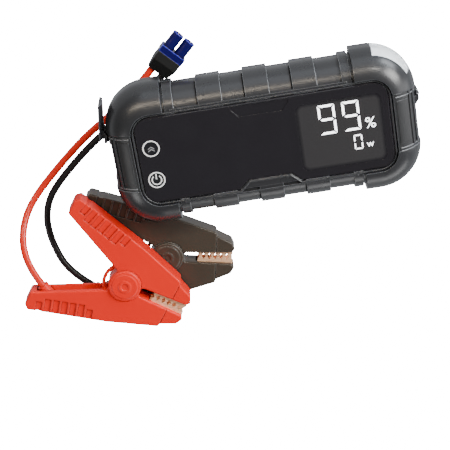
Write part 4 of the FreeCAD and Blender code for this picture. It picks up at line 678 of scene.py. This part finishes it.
BUTTON_X = -81.0
BOOST_Y = 9.4
POWER_Y = -14.7
INK_THICK = 0.1
RING_OUTER = 6.25
RING_WIDTH = 1.05
RING_STEPS = 48
ARC_RADIUS = 3.9
ARC_WIDTH = 0.95
ARC_GAP = radians(70)
STROKE_WIDTH = 0.95
STROKE_LOW = 0.6
STROKE_HIGH = 4.6
CHEVRON_HALF = 2.3
CHEVRON_RISE = 1.5
CHEVRON_WIDTH = 0.9
CHEVRON_STEP = 1.7


def printed_ring(outer, width, low, turn=2 * pi, start=0.0):
    """A flat ring of ink on a cap's top, or a part of one with its ends closed."""
    shape = bmesh.new()
    inner = outer - width
    profile = [(inner, low), (outer, low), (outer, low + INK_THICK), (inner, low + INK_THICK)]
    corners = [shape.verts.new((radius, 0, height)) for radius, height in profile]
    edges = [shape.edges.new(pair) for pair in zip(corners, corners[1:] + corners[:1])]
    bmesh.ops.rotate(shape, cent=(0, 0, 0), matrix=Matrix.Rotation(start, 3, "Z"), verts=corners)
    whole = turn >= 2 * pi
    bmesh.ops.spin(shape, geom=corners + edges, cent=(0, 0, 0), axis=(0, 0, 1), angle=turn,
                   steps=RING_STEPS, use_merge=whole)
    if not whole:
        close_openings(shape)
    return shape


def printed_mark(corners, low):
    """A flat mark of ink on a cap's top."""
    return carried([(x, y, low) for x, y in corners], (0, 0, INK_THICK))


def chevron(place, low):
    """One upward mark of the boost button, half its rise below and above a place along the cap's Y."""
    foot = place - CHEVRON_RISE / 2
    corners = [
        (-CHEVRON_HALF, foot), (0, foot + CHEVRON_RISE), (CHEVRON_HALF, foot),
        (CHEVRON_HALF, foot + CHEVRON_WIDTH), (0, foot + CHEVRON_RISE + CHEVRON_WIDTH),
        (-CHEVRON_HALF, foot + CHEVRON_WIDTH),
    ]
    return printed_mark(corners, low)


def add_boost_print():
    """A white ring round two grey chevrons."""
    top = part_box("boost_button")[1][2] / MM
    ring = printed_ring(RING_OUTER, RING_WIDTH, top)
    finish_piece("boost_ring", moved(ring, BUTTON_X, BOOST_Y), "boost", "digit_white", WHITE_INK)
    chevrons = joined([chevron(place, top) for place in (-CHEVRON_STEP, 0.0)])
    finish_piece("boost_chevrons", moved(chevrons, BUTTON_X, BOOST_Y), "boost", "digit_white", GREY_INK)


def add_power_print():
    """The common power sign, an open ring with a stroke, inside a whole ring."""
    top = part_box("power_button")[1][2] / MM
    ring = printed_ring(RING_OUTER, RING_WIDTH, top)
    arc = printed_ring(ARC_RADIUS, ARC_WIDTH, top, turn=2 * pi - ARC_GAP, start=pi / 2 + ARC_GAP / 2)
    half = STROKE_WIDTH / 2
    stroke = printed_mark(
        [(-half, STROKE_LOW), (half, STROKE_LOW), (half, STROKE_HIGH), (-half, STROKE_HIGH)], top)
    sign = moved(joined([ring, arc, stroke]), BUTTON_X, POWER_Y)
    finish_piece("power_ring_and_sign", sign, "power", "digit_white", WHITE_INK)


# The lit segments, a little slimmer than the solids, so that dark gaps part them

SLIMMER = 0.27


def loose_bodies(shape):
    """The separate bodies of a shape, each as its list of vertices."""
    left = set(shape.verts)
    while left:
        found = [left.pop()]
        for vert in found:
            near = {edge.other_vert(vert) for edge in vert.link_edges} & left
            left -= near
            found += near
        yield found


def add_lit_segments():
    """Each segment shrinks about its own middle, by the same share of its width all round."""
    shape = node_shape("display_digits")
    for verts in loose_bodies(shape):
        low, high = extent(verts)
        size = high - low
        less = SLIMMER * min(size.x, size.y)
        bmesh.ops.scale(shape, vec=(1 - less / size.x, 1 - less / size.y, 1), verts=verts,
                        space=Matrix.Translation(-(low + high) / 2))
    piece = finish_piece("lit_segments", shape, "root", "digit_white")
    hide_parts("display_digits")


# The jaws: toothed channels bent from sheet, where the solids are whole bars

SHEET = 1.1
JAW_BODIES = {
    "black_base_jaw": "root", "black_lever_jaw": "black_lever",
    "red_base_jaw": "root", "red_lever_jaw": "red_lever",
}


def cut_off(shape, spot, way):
    """What lies beyond a plane is cut off, and the cut is closed."""
    whole = shape.verts[:] + shape.edges[:] + shape.faces[:]
    bmesh.ops.bisect_plane(shape, geom=whole, plane_co=spot, plane_no=way, clear_outer=True)
    close_openings(shape)
    return shape


def add_jaws():
    """The web along a jaw's smooth back and its two toothed cheeks, each as thick as the sheet."""
    for name, body in JAW_BODIES.items():
        low, high = (Vector(corner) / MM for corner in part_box(name))
        web = node_shape(name)
        back = max(web.edges, key=lambda edge: edge.calc_length())
        first, last = (vert.co.copy() for vert in back.verts)
        along = (last - first).normalized()
        outwards = Vector((-along.y, along.x, 0))
        if outwards.dot(first - (low + high) / 2) < 0:
            outwards.negate()
        cut_off(web, first - outwards * SHEET, -outwards)
        upper = cut_off(node_shape(name), (0, 0, high.z - SHEET), (0, 0, -1))
        lower = cut_off(node_shape(name), (0, 0, low.z + SHEET), (0, 0, 1))
        piece = finish_piece(name + "_channel", joined([web, upper, lower]), body, "copper")
        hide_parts(name)


# The display's two small unit signs

SIGN_LOW = 50.1
SIGN_THICK = 0.12


def add_sign(name, sign, x, y, height):
    """A lit unit sign, made a mesh and stretched to its height and thickness before it is placed."""
    curve = bpy.data.curves.new(name, "FONT")
    curve.body = sign
    curve.extrude = 0.1
    curve.resolution_u = 4
    holder = bpy.data.objects.new(name, curve)
    mesh = bpy.data.meshes.new_from_object(holder)
    bpy.data.objects.remove(holder)
    shape = bmesh.new()
    shape.from_mesh(mesh)
    bpy.data.meshes.remove(mesh)
    low, high = extent(shape.verts)
    size = height / (high.y - low.y)
    bmesh.ops.translate(shape, vec=-(low + high) / 2, verts=shape.verts)
    bmesh.ops.scale(shape, vec=(size, size, SIGN_THICK / (high.z - low.z)), verts=shape.verts)
    finish_piece(name, moved(shape, x, y, SIGN_LOW + SIGN_THICK / 2), "root", "digit_white")


# Mouldings on the end trims: a plate, two ribs outside it and three thin arcs, all bent round the end

END_CENTRE_X = 90.5
END_CENTRE_Z = 30.0
END_RADIUS = 21.2
STRIP_SUNK = 0.6
STRIP_STEPS = 6
STRIP_ROUND = 0.3
SHARP_EDGE = radians(40)
# Each strip: where it starts and ends in degrees off the vertical, half its length along Y, how proud
PLATE = (15.0, 41.0, 16.2, 0.5)
RIBS = ((44.5, 49.0, 20.6, 0.8), (57.0, 61.5, 20.6, 0.8))
# The arcs' start, end and rise, and each one's place along Y with half its width
ARC_START = 14.0
ARC_END = 66.0
ARC_PROUD = 0.7
ARCS = ((-19.4, 0.5), (-21.8, 0.5), (18.8, 0.45))


def bent_strip(side, start, end, half_length, proud):
    """A strip along Y on the rounded end, from one angle off the vertical to another."""
    shape = bmesh.new()
    corners = [shape.verts.new((0, along, END_RADIUS - STRIP_SUNK)) for along in (-half_length, half_length)]
    corners += [shape.verts.new((0, along, END_RADIUS + proud)) for along in (half_length, -half_length)]
    face = shape.faces.new(corners)
    bmesh.ops.rotate(shape, cent=(0, 0, 0), matrix=Matrix.Rotation(radians(start) * side, 3, "Y"),
                     verts=corners)
    bmesh.ops.spin(shape, geom=[face] + corners + list(face.edges), cent=(0, 0, 0), axis=(0, 1, 0),
                   angle=radians(end - start) * side, steps=STRIP_STEPS, use_duplicate=False)
    bmesh.ops.remove_doubles(shape, verts=shape.verts, dist=MERGE)
    bmesh.ops.recalc_face_normals(shape, faces=shape.faces)
    sharp = [edge for edge in shape.edges if edge.is_manifold and edge.calc_face_angle() > SHARP_EDGE]
    bmesh.ops.bevel(shape, geom=sharp, offset=STRIP_ROUND, segments=2, profile=0.5, material=-1,
                    affect="EDGES", clamp_overlap=True)
    return moved(shape, END_CENTRE_X * side, 0, END_CENTRE_Z)


def add_trim_mouldings():
    """The same mouldings on both ends."""
    for word, side in ENDS:
        finish_piece(word + "_trim_plate", bent_strip(side, *PLATE), "root", "trim_rubber")
        ribs = joined([bent_strip(side, *rib) for rib in RIBS])
        finish_piece(word + "_trim_ribs", ribs, "root", "trim_rubber")
        # The arcs are painted pale grey: a painted highlight on their crowns.
        arcs = [moved(bent_strip(side, ARC_START, ARC_END, half, ARC_PROUD), 0, y) for y, half in ARCS]
        finish_piece(word + "_trim_arcs", joined(arcs), "root", "trim_rubber", PAINTED_HIGHLIGHT_RUBBER)


# Lights and table: sizes and places are in metres

ROOM_COLOUR = (0.93, 0.96, 1, 1)
ROOM_STRENGTH = 0.13
TABLE_BOUNCE = 0.75
TABLE_GLOW = 30.0
TABLE_HALF = 4
# The heights of the view direction between which the table's light gives way to the room's
BOUNCE_ENDS = -0.1
ROOM_STARTS = 0.12


def add_light(name, place, watts, size, colour=(1, 1, 1), aim=(0, 0, 0.02)):
    """A soft box at its place, turned to what it lights."""
    data = bpy.data.lights.new(name, "AREA")
    data.energy = watts
    data.color = colour
    data.shape = "RECTANGLE"
    data.size, data.size_y = size
    light = bpy.data.objects.new(name, data)
    light.rotation_euler = (Vector(aim) - Vector(place)).to_track_quat("-Z", "Y").to_euler()
    light.location = place
    bpy.context.scene.collection.objects.link(light)


def add_room():
    """A dim cool room above the horizon, and the pale table's light from below it."""
    world = bpy.data.worlds.new("studio")
    world.use_nodes = True
    tree = world.node_tree
    background = tree.nodes["Background"]
    background.inputs["Color"].default_value = ROOM_COLOUR
    way = add(tree, "ShaderNodeTexCoord").outputs["Generated"]
    height = add(tree, "ShaderNodeSeparateXYZ", {"Vector": way}).outputs["Z"]
    strength = add(tree, "ShaderNodeMapRange", {"From Min": BOUNCE_ENDS, "From Max": ROOM_STARTS,
                                                "To Min": TABLE_BOUNCE, "To Max": ROOM_STRENGTH,
                                                "Value": height})
    tree.links.new(strength.outputs["Result"], background.inputs["Strength"])
    bpy.context.scene.world = world


def table_paint():
    """Matt white sweep, lit through from below so that it stays white behind the object."""
    material, tree, shader = blank("white_sweep", "#f2f2f2", roughness=0.8, shine=0.1)
    shader.inputs["Emission Color"].default_value = linear("#ffffff")
    shader.inputs["Emission Strength"].default_value = TABLE_GLOW
    return material


def add_table():
    """The table only shows itself; the room's lower half stands for the light that it gives back."""
    shape = bmesh.new()
    bmesh.ops.create_grid(shape, x_segments=1, y_segments=1, size=TABLE_HALF)
    mesh = bpy.data.meshes.new("table")
    shape.to_mesh(mesh)
    shape.free()
    table = bpy.data.objects.new("table", mesh)
    bpy.context.scene.collection.objects.link(table)
    mesh.materials.append(table_paint())
    table.visible_diffuse = False
    table.visible_glossy = False


def add_studio():
    """Soft boxes on the lamp side, at both ends and behind, and two strips for the long highlight."""
    add_room()
    add_light("lamp_side_wall", (0.55, 1.6, 0.55), watts=12, size=(2.2, 1.1), colour=(0.86, 0.92, 1.0))
    add_light("lamp_side_right", (1.25, 1.15, 0.3), watts=18, size=(0.8, 0.5), colour=(0.9, 0.95, 1.0))
    add_light("warm_strip", (-0.5, 0.98, 1.12), watts=11.5, size=(1.16, 0.1), colour=(1.0, 0.86, 0.68),
              aim=(-0.5, 0, 0.02))
    add_light("right_strip", (0.5, 0.98, 1.12), watts=6, size=(0.4, 0.1), colour=(1.0, 0.96, 0.9),
              aim=(0.5, 0, 0.02))
    add_light("right_box", (1.2, 0.5, 0.95), watts=33, size=(0.7, 0.7), colour=(1.0, 0.99, 0.97))
    add_light("right_wall", (1.35, -0.25, 0.45), watts=7, size=(0.6, 1.2))
    add_light("left_box", (-1.1, -0.7, 0.9), watts=5, size=(0.6, 0.6))
    add_light("behind", (0.5, -1.3, 0.4), watts=7.5, size=(1.4, 0.4))
    add_table()


add_camera()
add_cord("red_lead", RED_ROUTE, "lead_red", "red_cord")
add_cord("black_lead", BLACK_ROUTE, "lead_black", "black_cord")
dress_nodes()
add_panel_bead()
add_ledges()
add_painted_shadow_strips()
add_boost_print()
add_power_print()
add_lit_segments()
add_jaws()
add_sign("percent_sign", "%", x=76.3, y=3.5, height=8.0)
add_sign("watt_sign", "w", x=74.4, y=-13.0, height=3.3)
add_trim_mouldings()
add_studio()
